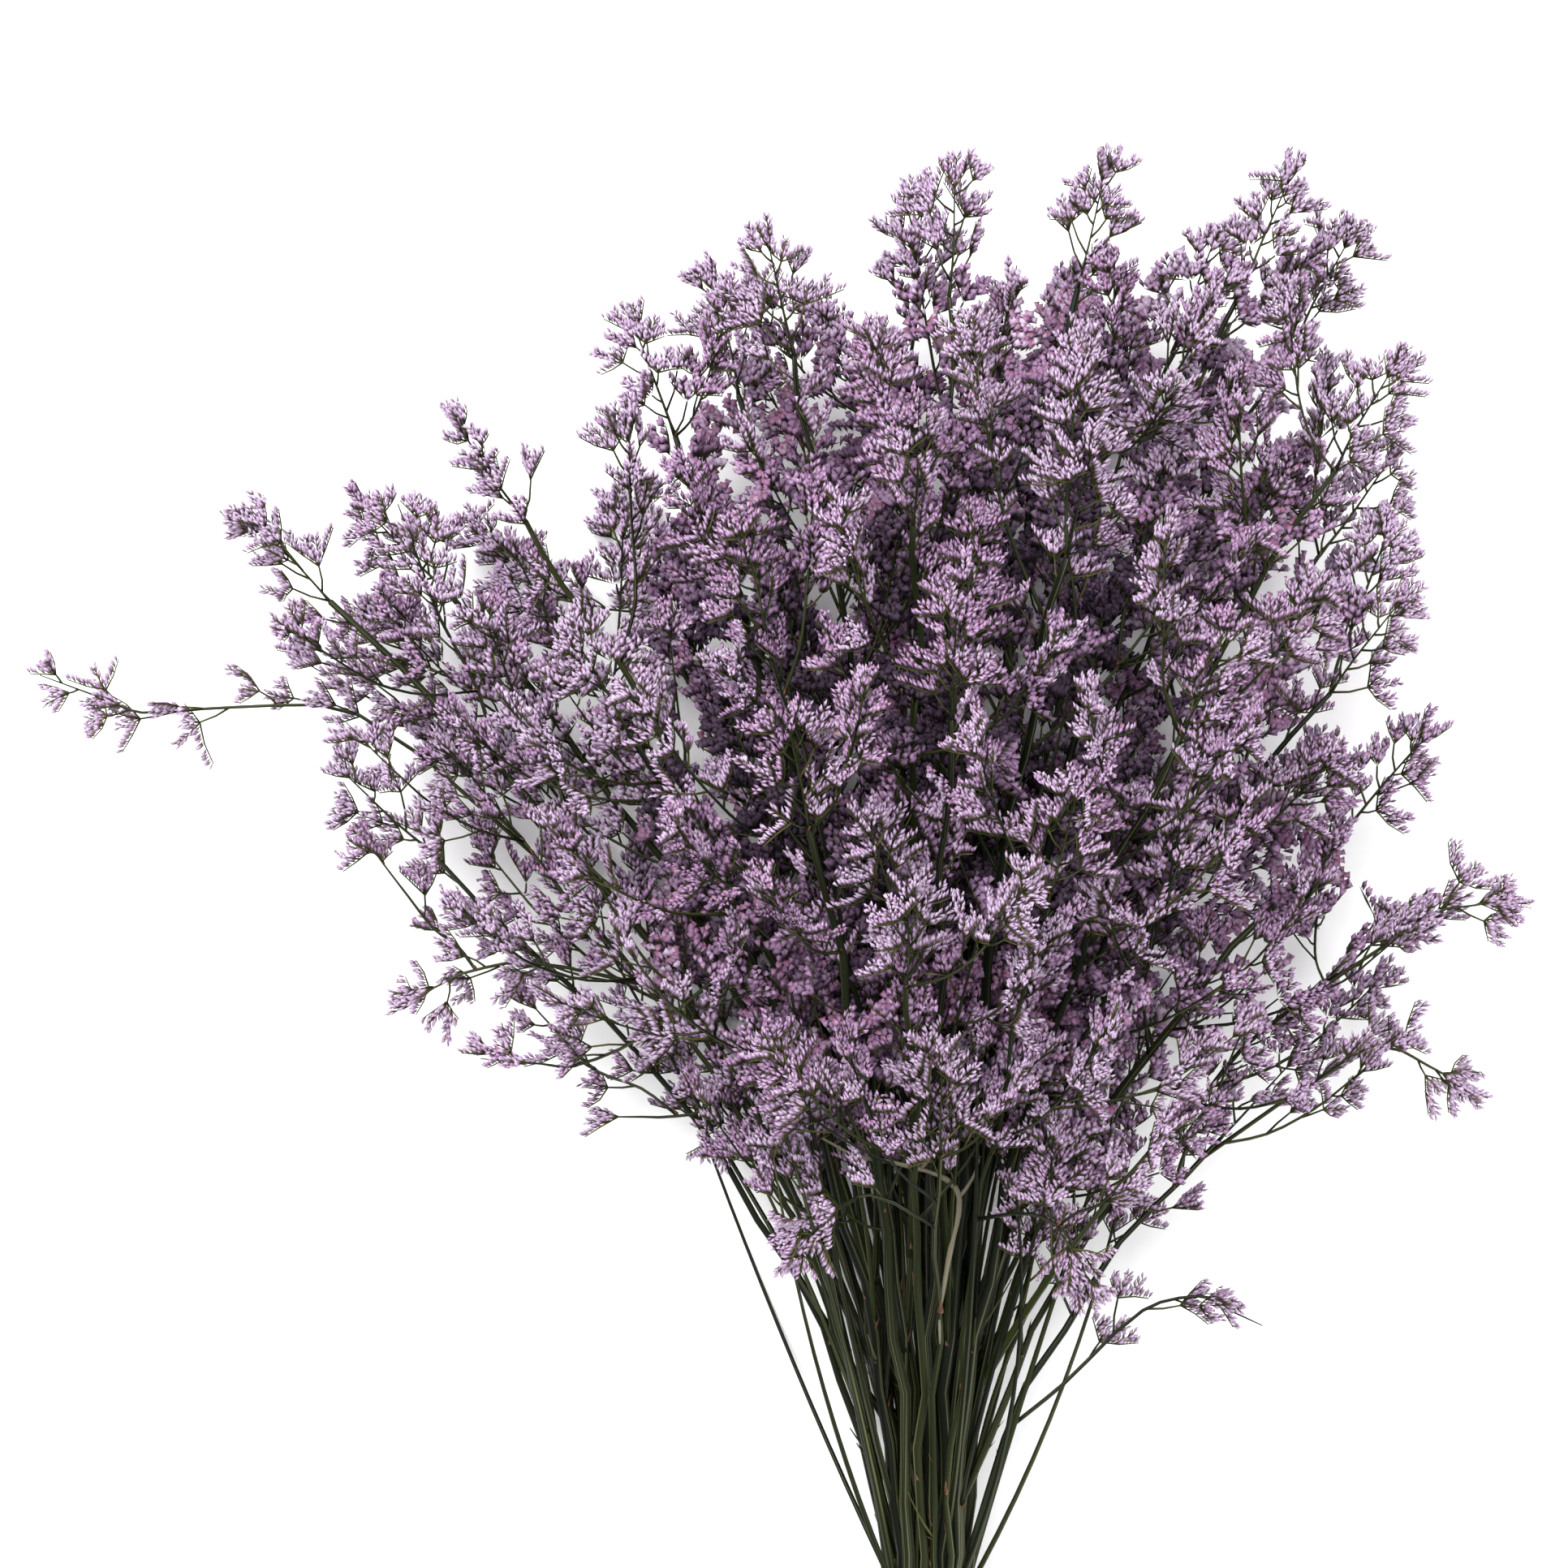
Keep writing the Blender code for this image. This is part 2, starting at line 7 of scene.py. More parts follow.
import bpy
import numpy as np
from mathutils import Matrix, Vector

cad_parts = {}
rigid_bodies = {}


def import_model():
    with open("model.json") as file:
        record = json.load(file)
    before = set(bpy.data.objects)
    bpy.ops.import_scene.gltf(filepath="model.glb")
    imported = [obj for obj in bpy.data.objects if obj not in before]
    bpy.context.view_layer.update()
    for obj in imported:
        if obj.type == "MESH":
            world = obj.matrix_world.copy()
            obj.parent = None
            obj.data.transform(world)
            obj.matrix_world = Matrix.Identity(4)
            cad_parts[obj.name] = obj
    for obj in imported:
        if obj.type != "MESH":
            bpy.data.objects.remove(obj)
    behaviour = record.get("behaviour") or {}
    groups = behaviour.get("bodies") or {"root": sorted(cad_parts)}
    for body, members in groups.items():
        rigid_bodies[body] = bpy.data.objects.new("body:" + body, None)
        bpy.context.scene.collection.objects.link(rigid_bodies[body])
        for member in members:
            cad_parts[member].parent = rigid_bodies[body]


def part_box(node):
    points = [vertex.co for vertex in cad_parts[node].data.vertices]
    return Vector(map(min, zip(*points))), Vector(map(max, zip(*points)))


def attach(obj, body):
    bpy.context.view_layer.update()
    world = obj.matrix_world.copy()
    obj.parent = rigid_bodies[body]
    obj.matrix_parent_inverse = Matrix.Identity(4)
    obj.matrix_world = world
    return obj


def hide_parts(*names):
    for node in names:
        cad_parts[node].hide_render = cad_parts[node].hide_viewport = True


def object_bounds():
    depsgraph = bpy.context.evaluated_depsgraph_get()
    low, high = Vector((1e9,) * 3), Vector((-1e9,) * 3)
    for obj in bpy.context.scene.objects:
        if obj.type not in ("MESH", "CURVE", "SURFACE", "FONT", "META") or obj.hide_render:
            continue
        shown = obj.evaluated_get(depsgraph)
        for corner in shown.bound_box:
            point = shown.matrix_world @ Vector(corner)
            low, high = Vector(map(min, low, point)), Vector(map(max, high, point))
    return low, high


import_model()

CAD_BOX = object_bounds()
MM = 0.001
UPWARD = np.array((0.0, 0.0, 1.0))
STEM = -1
COLOUR_MAP = "OFBake"
MAP_EDGE = 0.02
END_SHARE = 0.04  # how much of the colour map's length each end of a stem takes
SOFTNESS = 3.0  # how near to the surface or the top, in millimetres, what grows starts to give way
HEADROOM = 3.0  # how far the florets may rise past the solids, in millimetres
EXPOSURE = 1.6  # how much brighter than life the studio lights the bunch, so that the floor is white

log = logging.getLogger("dried_statice")

Point = np.ndarray
Range = tuple[float, float]


def unit(vector: Point) -> Point:
    """The vector at length one."""
    return vector / np.linalg.norm(vector)


def units(vectors: np.ndarray) -> np.ndarray:
    """Each row at length one."""
    return vectors / np.maximum(np.linalg.norm(vectors, axis=1, keepdims=True), 1e-9)


def square_to(vector: Point, line: Point) -> Point:
    """The part of a vector that is square to a line, at length one."""
    return unit(vector - (vector @ line) * line)


def ring_frame(heading: Point) -> tuple[Point, Point]:
    """Side and top directions of a ring across a stem, with the side kept level."""
    side = unit(np.cross(heading, UPWARD))
    return side, np.cross(side, heading)


def climb(values: np.ndarray, start: float, length: float) -> np.ndarray:
    """Zero for values up to a start, one for those past a length from it, and even between them."""
    return np.clip((values - start) / length, 0, 1)


@dataclass(frozen=True)
class Sprout:
    """How side branches start: where on what they grow from, on which of its sides, and how long their stalks are."""

    places: Range
    first_side: float
    sides: int
    lengths: Range


@dataclass(frozen=True)
class Habit:
    """How the bunch grows, in millimetres from the middle of the tie: the same rules as the solids follow."""

    seed: int = 23
    clearance: float = 0.4
    own_slack: float = 3.0
    rows: tuple[int, ...] = (4, 5, 6, 7, 6, 5, 4)
    pitch: float = 4.2
    stem_radius: float = 1.9
    stem_tip_radius: float = 1.2
    tie_height: float = 34.0
    tail_length: float = 108.0
    tail_variation: float = 8.0
    tail_flare: float = 0.5
    tail_drop: float = 13.7
    tail_level: float = 88.0
    straight_in_tie: float = 6.0
    stem_curve: float = 2.2
    stem_reach: float = 590.0
    bends: tuple[float, ...] = (-88.0, -6.0, 6.0, 90, 175, 255, 335, 415, 495, 600)
    last_bend: float = 20.0
    seatings: int = 3
    leader_start: float = 3.0
    leader_past_stem: float = 0.9
    leader_turn: Range = (55.0, 125.0)
    twig_count: int = 256
    twigs_per_spray: int = 12
    branching: float = 0.5
    on_stalk: Sprout = Sprout((0.4, 0.8), 30.0, 3, (14.0, 46.0))
    on_stem: Sprout = Sprout((0.46, 0.96), 45.0, 4, (18.0, 86.0))
    side_stray: float = 14.0
    leaving_angle: Range = (26.0, 62.0)
    bend_to_growth: float = 0.5
    sharing: float = 1.5
    trials: int = 90
    comb_length: float = 46.0
    comb_segments: int = 3
    comb_curve: float = 0.35
    comb_upward: float = 0.6
    stalk_radius: float = 1.2
    root_offset: float = 0.2
    comb_reach: float = 7.6
    comb_reach_rise: float = 2.0
    resting_height: float = 1.0
    edge_height: float = 76.0
    crown_rise: float = 132.0
    crown_depth: float = 125.0
    belly_depth: float = 55.0
    tips: tuple[tuple[float, float, float], ...] = (
        (-111, 536, 90), (-86, 554, 60), (-57, 563, 125), (-6, 582, 66), (12, 586, 110),
        (64, 591, 95), (101, 569, 62), (131, 591, 100), (157, 574, 60), (160, 521, 122),
        (177, 492, 75), (186, 439, 122), (205, 390, 92), (200, 330, 78), (154, 268, 56),
        (-268, 474, 92), (-228, 479, 62), (-177, 503, 112), (-196, 384, 84), (-251, 380, 56),
        (-74, 458, 178), (-8, 498, 184), (54, 486, 186), (107, 423, 176), (5, 428, 206),
        (-57, 389, 190), (51, 366, 196), (-8, 332, 182), (-136, 424, 150), (-2, 268, 140),
        (-114, 473, 1), (-25, 518, 1), (60, 521, 1), (133, 467, 1), (108, 366, 1), (-76, 366, 1), (-171, 391, 1),
    )
    reaching: tuple[tuple[int, float, tuple[tuple[float, float, float], ...]], ...] = (
        (18, 338, ((-214, 390, 86), (-262, 393, 82), (-296, 391, 82), (-334, 405, 82))),
        (18, 288, ((-152, 297, 72), (-176, 293, 76), (-200, 281, 78))),
        (28, 300, ((-108, 270, 90), (-134, 259, 92), (-168, 262, 94))),
        (15, 256, ((-86, 240, 50), (-100, 237, 50), (-127, 237, 50))),
        (13, 285, ((178, 308, 76), (192, 317, 80), (219, 321, 82))),
        (14, 222, ((150, 254, 62), (174, 264, 60), (190, 257, 58), (212, 245, 56))),
        (14, 116, ((52, 134, 44), (82, 163, 50), (103, 169, 54), (127, 158, 56))),
        (29, 200, ((-24, 214, 122), (-38, 208, 130), (-54, 192, 134))),
        (26, 200, ((36, 206, 112), (48, 200, 122), (56, 178, 126))),
    )
    outline: tuple[tuple[float, float], ...] = (
        (-250, 366), (-262, 440), (-232, 482), (-180, 508), (-150, 486), (-125, 522), (-86, 550), (-45, 568),
        (9, 588), (64, 592), (136, 592), (165, 532), (178, 492), (190, 440), (190, 396), (184, 354), (204, 306),
        (186, 258), (128, 240), (90, 192), (55, 168), (20, 216), (-49, 198), (-92, 230), (-154, 262), (-200, 294),
        (-204, 336),
    )

    def reach(self, y: float) -> float:
        """Share of its whole lean that a stem has at the distance y above the tie."""
        past_tie = np.maximum(np.array(self.bends) - self.straight_in_tie, 0.0)
        return np.interp(y, self.bends, (past_tie / self.stem_reach) ** self.stem_curve)

    def spread(self, y: float) -> float:
        """Share of its whole spread that a cut end has at the distance -y below the tie."""
        return np.interp(y, (-self.tail_level, -self.straight_in_tie), (1.0, 0.0))


@dataclass
class Stem:
    """One stem: its seat in the tie, how far it leans by the full reach of the bunch, and its two ends."""

    habit: Habit
    seat: tuple[float, float]
    lean: tuple[float, float]
    top: float
    tail: float
    line: np.ndarray = field(init=False)

    def __post_init__(self) -> None:
        """Lay the middle line through the bends that all stems share."""
        bends = [y for y in self.habit.bends if y < self.top - self.habit.last_bend]
        self.line = np.array([self.place(y) for y in (-self.tail, *bends, self.top)])

    def place(self, y: float) -> Point:
        """Point of the middle line at the distance y from the tie.

        Args:
            y: The distance.

        Returns:
            The point.
        """
        flare = 1 + self.habit.tail_flare * self.habit.spread(y)
        x = self.seat[0] * flare + self.lean[0] * self.habit.reach(y)
        drop = self.habit.tail_drop * self.habit.spread(y)
        z = self.habit.tie_height + self.seat[1] * flare - drop + self.lean[1] * self.habit.reach(y)
        return np.array((x, y, z))

    def at(self, y: float) -> tuple[Point, Point]:
        """Point on the bent middle line, and the line's direction there.

        Args:
            y: Distance from the tie.

        Returns:
            The point and the direction.
        """
        place = min(max(np.searchsorted(self.line[:, 1], y), 1), len(self.line) - 1)
        start, end = self.line[place - 1], self.line[place]
        return start + (end - start) * (y - start[1]) / (end[1] - start[1]), unit(end - start)

    def radius(self, y: float) -> float:
        """Radius of the solid's stem at the distance y from the tie."""
        slim = self.habit.stem_tip_radius - self.habit.stem_radius
        return self.habit.stem_radius + slim * max(y, 0.0) / self.top


@dataclass
class Twig:
    """A side branch: a stalk that starts inside what it grows from, and the comb that it ends in."""

    spray: int
    stalk: list[Point]
    comb: list[Point]
    facing: Point
    parent: int = STEM

    def middle(self) -> Point:
        """Middle of the comb."""
        return (self.comb[0] + self.comb[-1]) / 2


def rod_gaps(start: Point, end: Point, starts: np.ndarray, ends: np.ndarray) -> np.ndarray:
    """Shortest distances from one stretch to each of many.

    Args:
        start: One end of the stretch.
        end: Its other end.
        starts: One end of each of the others, in rows.
        ends: Their other ends.

    Returns:
        A distance for each of the others.
    """
    along, others, offset = end - start, ends - starts, start - starts
    own, theirs = along @ along, (others * others).sum(1)
    cross, own_off, their_off = others @ along, offset @ along, (others * offset).sum(1)
    spread = np.maximum(own * theirs - cross * cross, 1e-9)
    near = np.clip((cross * their_off - own_off * theirs) / spread, 0, 1)
    far = np.clip((cross * near + their_off) / theirs, 0, 1)
    near = np.clip((cross * far - own_off) / own, 0, 1)
    return np.linalg.norm(offset + near[:, None] * along - far[:, None] * others, axis=1)


class Thicket:
    """All that has grown so far, as rounded rods, to keep new twigs clear of it."""

    def __init__(self, habit: Habit, stems: list[Stem]) -> None:
        """Start with the stems alone.

        Args:
            habit: How the bunch grows.
            stems: Its stems.
        """
        self.habit = habit
        self.ends: list[tuple[Point, Point]] = []
        self.radii: list[float] = []
        self.sprays: list[int] = []
        self.sources: list[int] = []
        self.leafy: list[bool] = []
        self.twigs: list[Twig] = []
        for spray, stem in enumerate(stems):
            for start, end in zip(stem.line, stem.line[1:]):
                self.add(start, end, stem.radius(start[1]), spray, STEM, False)

    def add(self, start: Point, end: Point, radius: float, spray: int, source: int, leafy: bool) -> None:
        """Add one rod, with the spray and the twig that it belongs to.

        Args:
            start: One end.
            end: The other end.
            radius: Its radius.
            spray: Its spray's number.
            source: Its twig's number, or that of all stems.
            leafy: Whether it has florets.
        """
        self.ends.append((start, end))
        self.radii.append(radius)
        self.sprays.append(spray)
        self.sources.append(source)
        self.leafy.append(leafy)

    def rods(self, twig: Twig) -> list[tuple[Point, Point, float, bool]]:
        """A twig as rods: each stretch of its stalk, and its comb with its florets.

        Args:
            twig: The twig.

        Returns:
            The ends, the radius and whether it has florets, for each rod.
        """
        found = [(start, end, self.habit.stalk_radius, False) for start, end in zip(twig.stalk, twig.stalk[1:])]
        shift = twig.facing * self.habit.comb_reach_rise
        return found + [(twig.comb[0] + shift, twig.comb[-1] + shift, self.habit.comb_reach, True)]

    def add_twig(self, twig: Twig) -> None:
        """Add a twig and its rods.

        Args:
            twig: The twig.
        """
        for start, end, radius, leafy in self.rods(twig):
            self.add(start, end, radius, twig.spray, len(self.twigs), leafy)
        self.twigs.append(twig)

    def middles(self) -> np.ndarray:
        """Middles of all combs, in rows."""
        return np.array([twig.middle() for twig in self.twigs])

    def spare(self, twig: Twig) -> float:
        """The least room left round a twig, where its own spray may come closer, and its parent may touch.

        Args:
            twig: The twig.

        Returns:
            The least gap, which is negative where something is in its way.
        """
        ends, radii, leafy = np.array(self.ends), np.array(self.radii), np.array(self.leafy)
        own = np.array(self.sprays) == twig.spray
        near = own & (np.array(self.sources) != twig.parent)
        least = math.inf
        for start, end, radius, with_florets in self.rods(twig):
            gaps = rod_gaps(start, end, ends[:, 0], ends[:, 1]) - radii - radius
            gaps[near] += self.habit.own_slack
            least = min(least, gaps[~own | near if with_florets else ~own | near & leafy].min())
        return least


@dataclass
class Growth:
    """Grows the stems and twigs of the bunch, in the same order of random draws as the solids."""

    habit: Habit
    source: Point = field(default_factory=lambda: np.array((0.0, -60.0, 40.0)))

    def grow(self) -> tuple[list[Stem], list[Twig]]:
        """Grow the whole bunch.

        Returns:
            The stems, and all the twigs, each with its spray's number.
        """
        habit = self.habit
        rng = np.random.default_rng(habit.seed)
        stems = self.seat_stems(rng)
        thicket = Thicket(habit, stems)
        for spray, stem in enumerate(stems):
            thicket.add_twig(self.leader(rng, spray, stem))
        for spray, leaves_at, points in habit.reaching:
            thicket.add_twig(self.reaching_branch(spray, (stems[spray].at(leaves_at)[0], *points)))
        while len(thicket.twigs) < habit.twig_count:
            counts = np.bincount([twig.spray for twig in thicket.twigs], minlength=len(stems))
            middles = thicket.middles()
            trials = []
            for _ in range(habit.trials):
                spray = int(rng.integers(len(stems)))
                twig = self.trial_twig(rng, spray, stems[spray], thicket.twigs)
                middle = twig.middle()
                if counts[spray] < habit.twigs_per_spray and self.in_head(middle) and self.in_head(twig.comb[-1]):
                    room = np.linalg.norm(middles - middle, axis=1).min()
                    trials.append((room - habit.sharing * counts[spray], twig))
            trials.sort(key=lambda trial: -trial[0])
            clear = next((twig for _, twig in trials if thicket.spare(twig) > habit.clearance), None)
            if clear:
                thicket.add_twig(clear)
        return stems, thicket.twigs

    def seat_stems(self, rng: np.random.Generator) -> list[Stem]:
        """Seat the stems that lean up most highest in the tie, each row from left to right, so that none cross.

        Args:
            rng: The random draws.

        Returns:
            The stems.
        """
        habit = self.habit
        middle_row = len(habit.rows) // 2
        seats = {tip: (0.0, 0.0) for tip in habit.tips}
        for _ in range(habit.seatings):
            leans = {}
            for tip, seat in seats.items():
                rise = tip[2] - habit.tie_height - seat[1]
                leans[tip] = ((tip[0] - seat[0]) / habit.reach(tip[1]), rise / habit.reach(tip[1]))
            waiting = sorted(habit.tips, key=lambda tip: leans[tip][1])
            for row, count in enumerate(habit.rows):
                members = sorted(waiting[:count], key=lambda tip: leans[tip][0])
                waiting = waiting[count:]
                for place, tip in enumerate(members):
                    seats[tip] = ((place - (count - 1) / 2) * habit.pitch, (row - middle_row) * habit.pitch)
        tails = rng.uniform(-habit.tail_variation, habit.tail_variation, len(habit.tips)) + habit.tail_length
        return [Stem(habit, seats[tip], leans[tip], tip[1] - habit.leader_past_stem * habit.comb_length, tail)
                for tip, tail in zip(habit.tips, tails)]

    def make_twig(self, spray: int, stalk: list[Point], heading: Point, growth: Point, parent: int = STEM) -> Twig:
        """A twig whose comb starts along heading and curves towards the way the bunch grows.

        Args:
            spray: Its spray's number.
            stalk: The points of its stalk.
            heading: Where its comb starts for.
            growth: The way the bunch grows there.
            parent: Number of the twig that it grows from.

        Returns:
            The twig.
        """
        habit = self.habit
        curve = unit(heading + habit.comb_curve * growth) - heading
        steps = np.linspace(0, 1, habit.comb_segments + 1)
        comb = [stalk[-1] + habit.comb_length * (step * heading + 0.5 * step * step * curve) for step in steps]
        for point in (*stalk[1:], *comb):
            point[2] = max(point[2], habit.resting_height)
        side = unit(comb[-1] - comb[0])
        return Twig(spray, stalk, comb, square_to(growth + habit.comb_upward * UPWARD, side), parent)

    def leader(self, rng: np.random.Generator, spray: int, stem: Stem) -> Twig:
        """The comb that ends a spray's main stem.

        Args:
            rng: The random draws.
            spray: The spray's number.
            stem: Its stem.

        Returns:
            The comb, as a twig.
        """
        root, heading = stem.at(stem.top - self.habit.leader_start)
        twig = self.make_twig(spray, [root, stem.line[-1] + heading], heading, heading)
        side, top = ring_frame(unit(twig.comb[-1] - twig.comb[0]))
        turn = math.radians(rng.uniform(*self.habit.leader_turn))
        twig.facing = side * math.cos(turn) + top * math.sin(turn)
        return twig

    def reaching_branch(self, spray: int, points: tuple) -> Twig:
        """A thin branch along given points, of which the last two are the ends of its comb.

        Args:
            spray: Its spray's number.
            points: The points.

        Returns:
            The branch, as a twig.
        """
        points = [np.array(point, float) for point in points]
        root, tip = points[-2:]
        steps = np.linspace(0, 1, self.habit.comb_segments + 1)
        facing = square_to(UPWARD + np.array((0.0, 0.5, 0.0)), unit(tip - root))
        return Twig(spray, points[:-1], [root + (tip - root) * step for step in steps], facing)

    def trial_twig(self, rng: np.random.Generator, spray: int, stem: Stem, twigs: list[Twig]) -> Twig:
        """A twig from a random place on the stem, or from the stalk of one of the spray's own twigs.

        Args:
            rng: The random draws.
            spray: The spray's number.
            stem: Its stem.
            twigs: All the twigs so far.

        Returns:
            The twig.
        """
        parents = [number for number, twig in enumerate(twigs) if twig.spray == spray and twig.parent == STEM]
        habit = self.habit
        if rng.random() < habit.branching:
            sprout, parent = habit.on_stalk, parents[rng.integers(len(parents))]
            start, end = twigs[parent].stalk[-2:]
            root, heading = start + (end - start) * rng.uniform(*sprout.places), unit(end - start)
            top = square_to(twigs[parent].facing, heading)
            side = np.cross(heading, top)
        else:
            sprout, parent = habit.on_stem, STEM
            root, heading = stem.at(stem.top * rng.uniform(*sprout.places))
            side, top = ring_frame(heading)
        turn = math.radians(sprout.first_side + 360 / sprout.sides * rng.integers(sprout.sides))
        length = rng.uniform(*sprout.lengths)
        turn += math.radians(rng.uniform(-habit.side_stray, habit.side_stray))
        angle = math.radians(rng.uniform(*habit.leaving_angle))
        across = side * math.cos(turn) + top * math.sin(turn)
        first = heading * math.cos(angle) + across * math.sin(angle)
        growth = unit(root - self.source)
        root = root + habit.root_offset * across
        onward = unit(first + habit.bend_to_growth * growth)
        return self.make_twig(spray, [root, root + first * length], onward, growth, parent)

    def depth_in_head(self, x: float, y: float) -> float:
        """Distance in from the head's outline, which is negative outside it.

        Args:
            x: Place across the bunch.
            y: Place along the bunch.

        Returns:
            The distance.
        """
        corners = np.array(self.habit.outline, float)
        sides = np.roll(corners, -1, axis=0) - corners
        offsets = np.array((x, y)) - corners
        share = np.clip((offsets * sides).sum(1) / (sides * sides).sum(1), 0, 1)
        distance = np.linalg.norm(offsets - share[:, None] * sides, axis=1).min()
        crossed = (offsets[:, 1] >= 0) != (np.roll(offsets[:, 1], -1) >= 0)
        turned = sides[:, 0] * offsets[:, 1] - sides[:, 1] * offsets[:, 0]
        inside = (crossed & ((turned > 0) == (sides[:, 1] < 0))).sum() % 2 == 1
        return distance if inside else -distance

    def in_head(self, point: Point) -> bool:
        """Whether a point lies in the domed head, whose edge floats and whose belly rests on the surface.

        Args:
            point: The point.

        Returns:
            Whether it does.
        """
        habit = self.habit
        depth = self.depth_in_head(point[0], point[1])
        if depth < 0:
            return False
        top = habit.edge_height + habit.crown_rise * math.sqrt(min(depth / habit.crown_depth, 1.0))
        bottom = habit.edge_height * (1 - math.sqrt(min(depth / habit.belly_depth, 1.0)))
        return bottom <= point[2] <= top


@dataclass
class Canopy:
    """The lumpy outside of the grown head, found from the points of all its fans."""

    points: np.ndarray
    reach: float = 24.0
    fewest: int = 6
    rim: Range = (10.0, 90.0)

    @classmethod
    def over(cls, twigs: list[Twig]) -> "Canopy":
        """The canopy over some side branches."""
        return cls(np.array([point for twig in twigs for point in twig.comb]))

    def cover(self, point: Point) -> tuple[float, float]:
        """How much of the head lies above a point, and how much lies between it and the nearer face, in height.

        Args:
            point: The point.

        Returns:
            Both heights.
        """
        near = np.linalg.norm(self.points[:, :2] - point[:2], axis=1) < self.reach
        if near.sum() < self.fewest:
            return 0.0, 0.0
        bottom, top = np.percentile(self.points[near, 2], self.rim)
        return top - point[2], max(min(top - point[2], point[2] - bottom), 0.0)


@dataclass
class Path:
    """A bent line that is read by the share of its length."""

    LOOK = 0.02
    TRIES = 160

    points: np.ndarray
    shares: np.ndarray = field(init=False)
    length: float = field(init=False)

    def __post_init__(self) -> None:
        """Measure the line."""
        steps = np.linalg.norm(np.diff(self.points, axis=0), axis=1)
        self.length = float(steps.sum())
        self.shares = np.concatenate(([0.0], np.cumsum(steps))) / self.length

    def at(self, shares: np.ndarray) -> np.ndarray:
        """Points at shares of the length, in rows."""
        return np.stack([np.interp(shares, self.shares, column) for column in self.points.T], 1)

    def headings(self, shares: np.ndarray) -> np.ndarray:
        """Directions of the line at shares of its length, in rows."""
        return units(self.at(np.minimum(shares + self.LOOK, 1.0)) - self.at(np.maximum(shares - self.LOOK, 0.0)))

    def spot(self, share: float) -> tuple[Point, Point]:
        """The point at a share of the length, and the line's direction there."""
        return self.at(np.array([share]))[0], self.headings(np.array([share]))[0]

    def nearest(self, point: Point) -> float:
        """Share of the length at which the line comes nearest to a point."""
        shares = np.linspace(0, 1, self.TRIES)
        return float(shares[np.linalg.norm(self.at(shares) - point, axis=1).argmin()])


def smooth_path(points: list[Point], steps: int = 7) -> Path:
    """A smooth line through points.

    Args:
        points: Points that the line passes through.
        steps: Points laid on each of its stretches.

    Returns:
        The line.
    """
    given = [np.array(point, float) for point in points]
    given = [2 * given[0] - given[1], *given, 2 * given[-1] - given[-2]]
    laid = []
    for before, start, end, after in zip(given, given[1:], given[2:], given[3:]):
        reach = np.linalg.norm(end - start)
        leaving = (end - before) / max(np.linalg.norm(end - before), 1e-6) * reach
        arriving = (after - start) / max(np.linalg.norm(after - start), 1e-6) * reach
        for share in np.arange(steps) / steps:
            squared, cubed = share * share, share ** 3
            laid.append((2 * cubed - 3 * squared + 1) * start + (cubed - 2 * squared + share) * leaving
                        + (3 * squared - 2 * cubed) * end + (cubed - squared) * arriving)
    return Path(np.array([*laid, given[-2]]))


def arc(root: Point, start: Point, end: Point, length: float, count: int = 7) -> Path:
    """A line that leaves a root in one direction and ends in another."""
    shares = np.linspace(0, 1, count)[:, None]
    return Path(root + length * (shares * start + 0.5 * shares ** 2 * (end - start)))


def turned(vector: Point, axis: Point, angle: float) -> Point:
    """A vector turned about an axis."""
    return (vector * math.cos(angle) + np.cross(axis, vector) * math.sin(angle)
            + axis * (axis @ vector) * (1 - math.cos(angle)))


@dataclass
class Form:
    """A small shape modelled once, to be copied: its points, its triangles and its places on the colour map."""

    points: np.ndarray
    triangles: np.ndarray
    places: np.ndarray


class Bench:
    """The bench on which small shapes are modelled before they are copied."""

    SLACK = 0.01

    def start(self) -> None:
        """Clear the selection, so that only the new shape is worked on."""
        if bpy.context.object and bpy.context.object.mode != "OBJECT":
            bpy.ops.object.mode_set(mode="OBJECT")
        bpy.ops.object.select_all(action="DESELECT")

    def pick(self, height: float, pole: bool = False) -> None:
        """Select the points at a height, either those round the shape or the one in its middle.

        Args:
            height: The height.
            pole: Whether to take the one in the middle.
        """
        bpy.ops.object.mode_set(mode="EDIT")
        bpy.ops.mesh.select_all(action="DESELECT")
        bpy.ops.object.mode_set(mode="OBJECT")
        for vertex in bpy.context.object.data.vertices:
            inner = math.hypot(vertex.co.x, vertex.co.y) < self.SLACK
            vertex.select = abs(vertex.co.z - height) <= self.SLACK and inner == pole
        bpy.ops.object.mode_set(mode="EDIT")

    def shape(self, width: float, rise: float, height: float) -> None:
        """Widen what is selected about the middle line, and raise it from a height."""
        bpy.ops.transform.resize(value=(width, width, 1.0), center_override=(0.0, 0.0, height))
        bpy.ops.transform.translate(value=(0.0, 0.0, rise))

    def take(self) -> Form:
        """Take the shape off the bench as a form, and clear it away.

        Returns:
            The form.
        """
        bpy.ops.object.mode_set(mode="EDIT")
        bpy.ops.mesh.select_all(action="SELECT")
        bpy.ops.mesh.quads_convert_to_tris()
        bpy.ops.mesh.normals_make_consistent(inside=False)
        bpy.ops.object.mode_set(mode="OBJECT")
        mesh = bpy.context.object.data
        points = np.array([vertex.co for vertex in mesh.vertices])
        triangles = np.array([tuple(face.vertices) for face in mesh.polygons])
        self.clear()
        around = np.arctan2(points[:, 1], points[:, 0]) / (2 * math.pi) + 0.5
        height = points[:, 2] / points[:, 2].max()
        return Form(points, triangles, np.stack((around, np.clip(height, 0, 1)), 1))

    def clear(self) -> None:
        """Clear the shape away."""
        thing = bpy.context.object
        mesh = thing.data
        bpy.data.objects.remove(thing)
        bpy.data.meshes.remove(mesh)


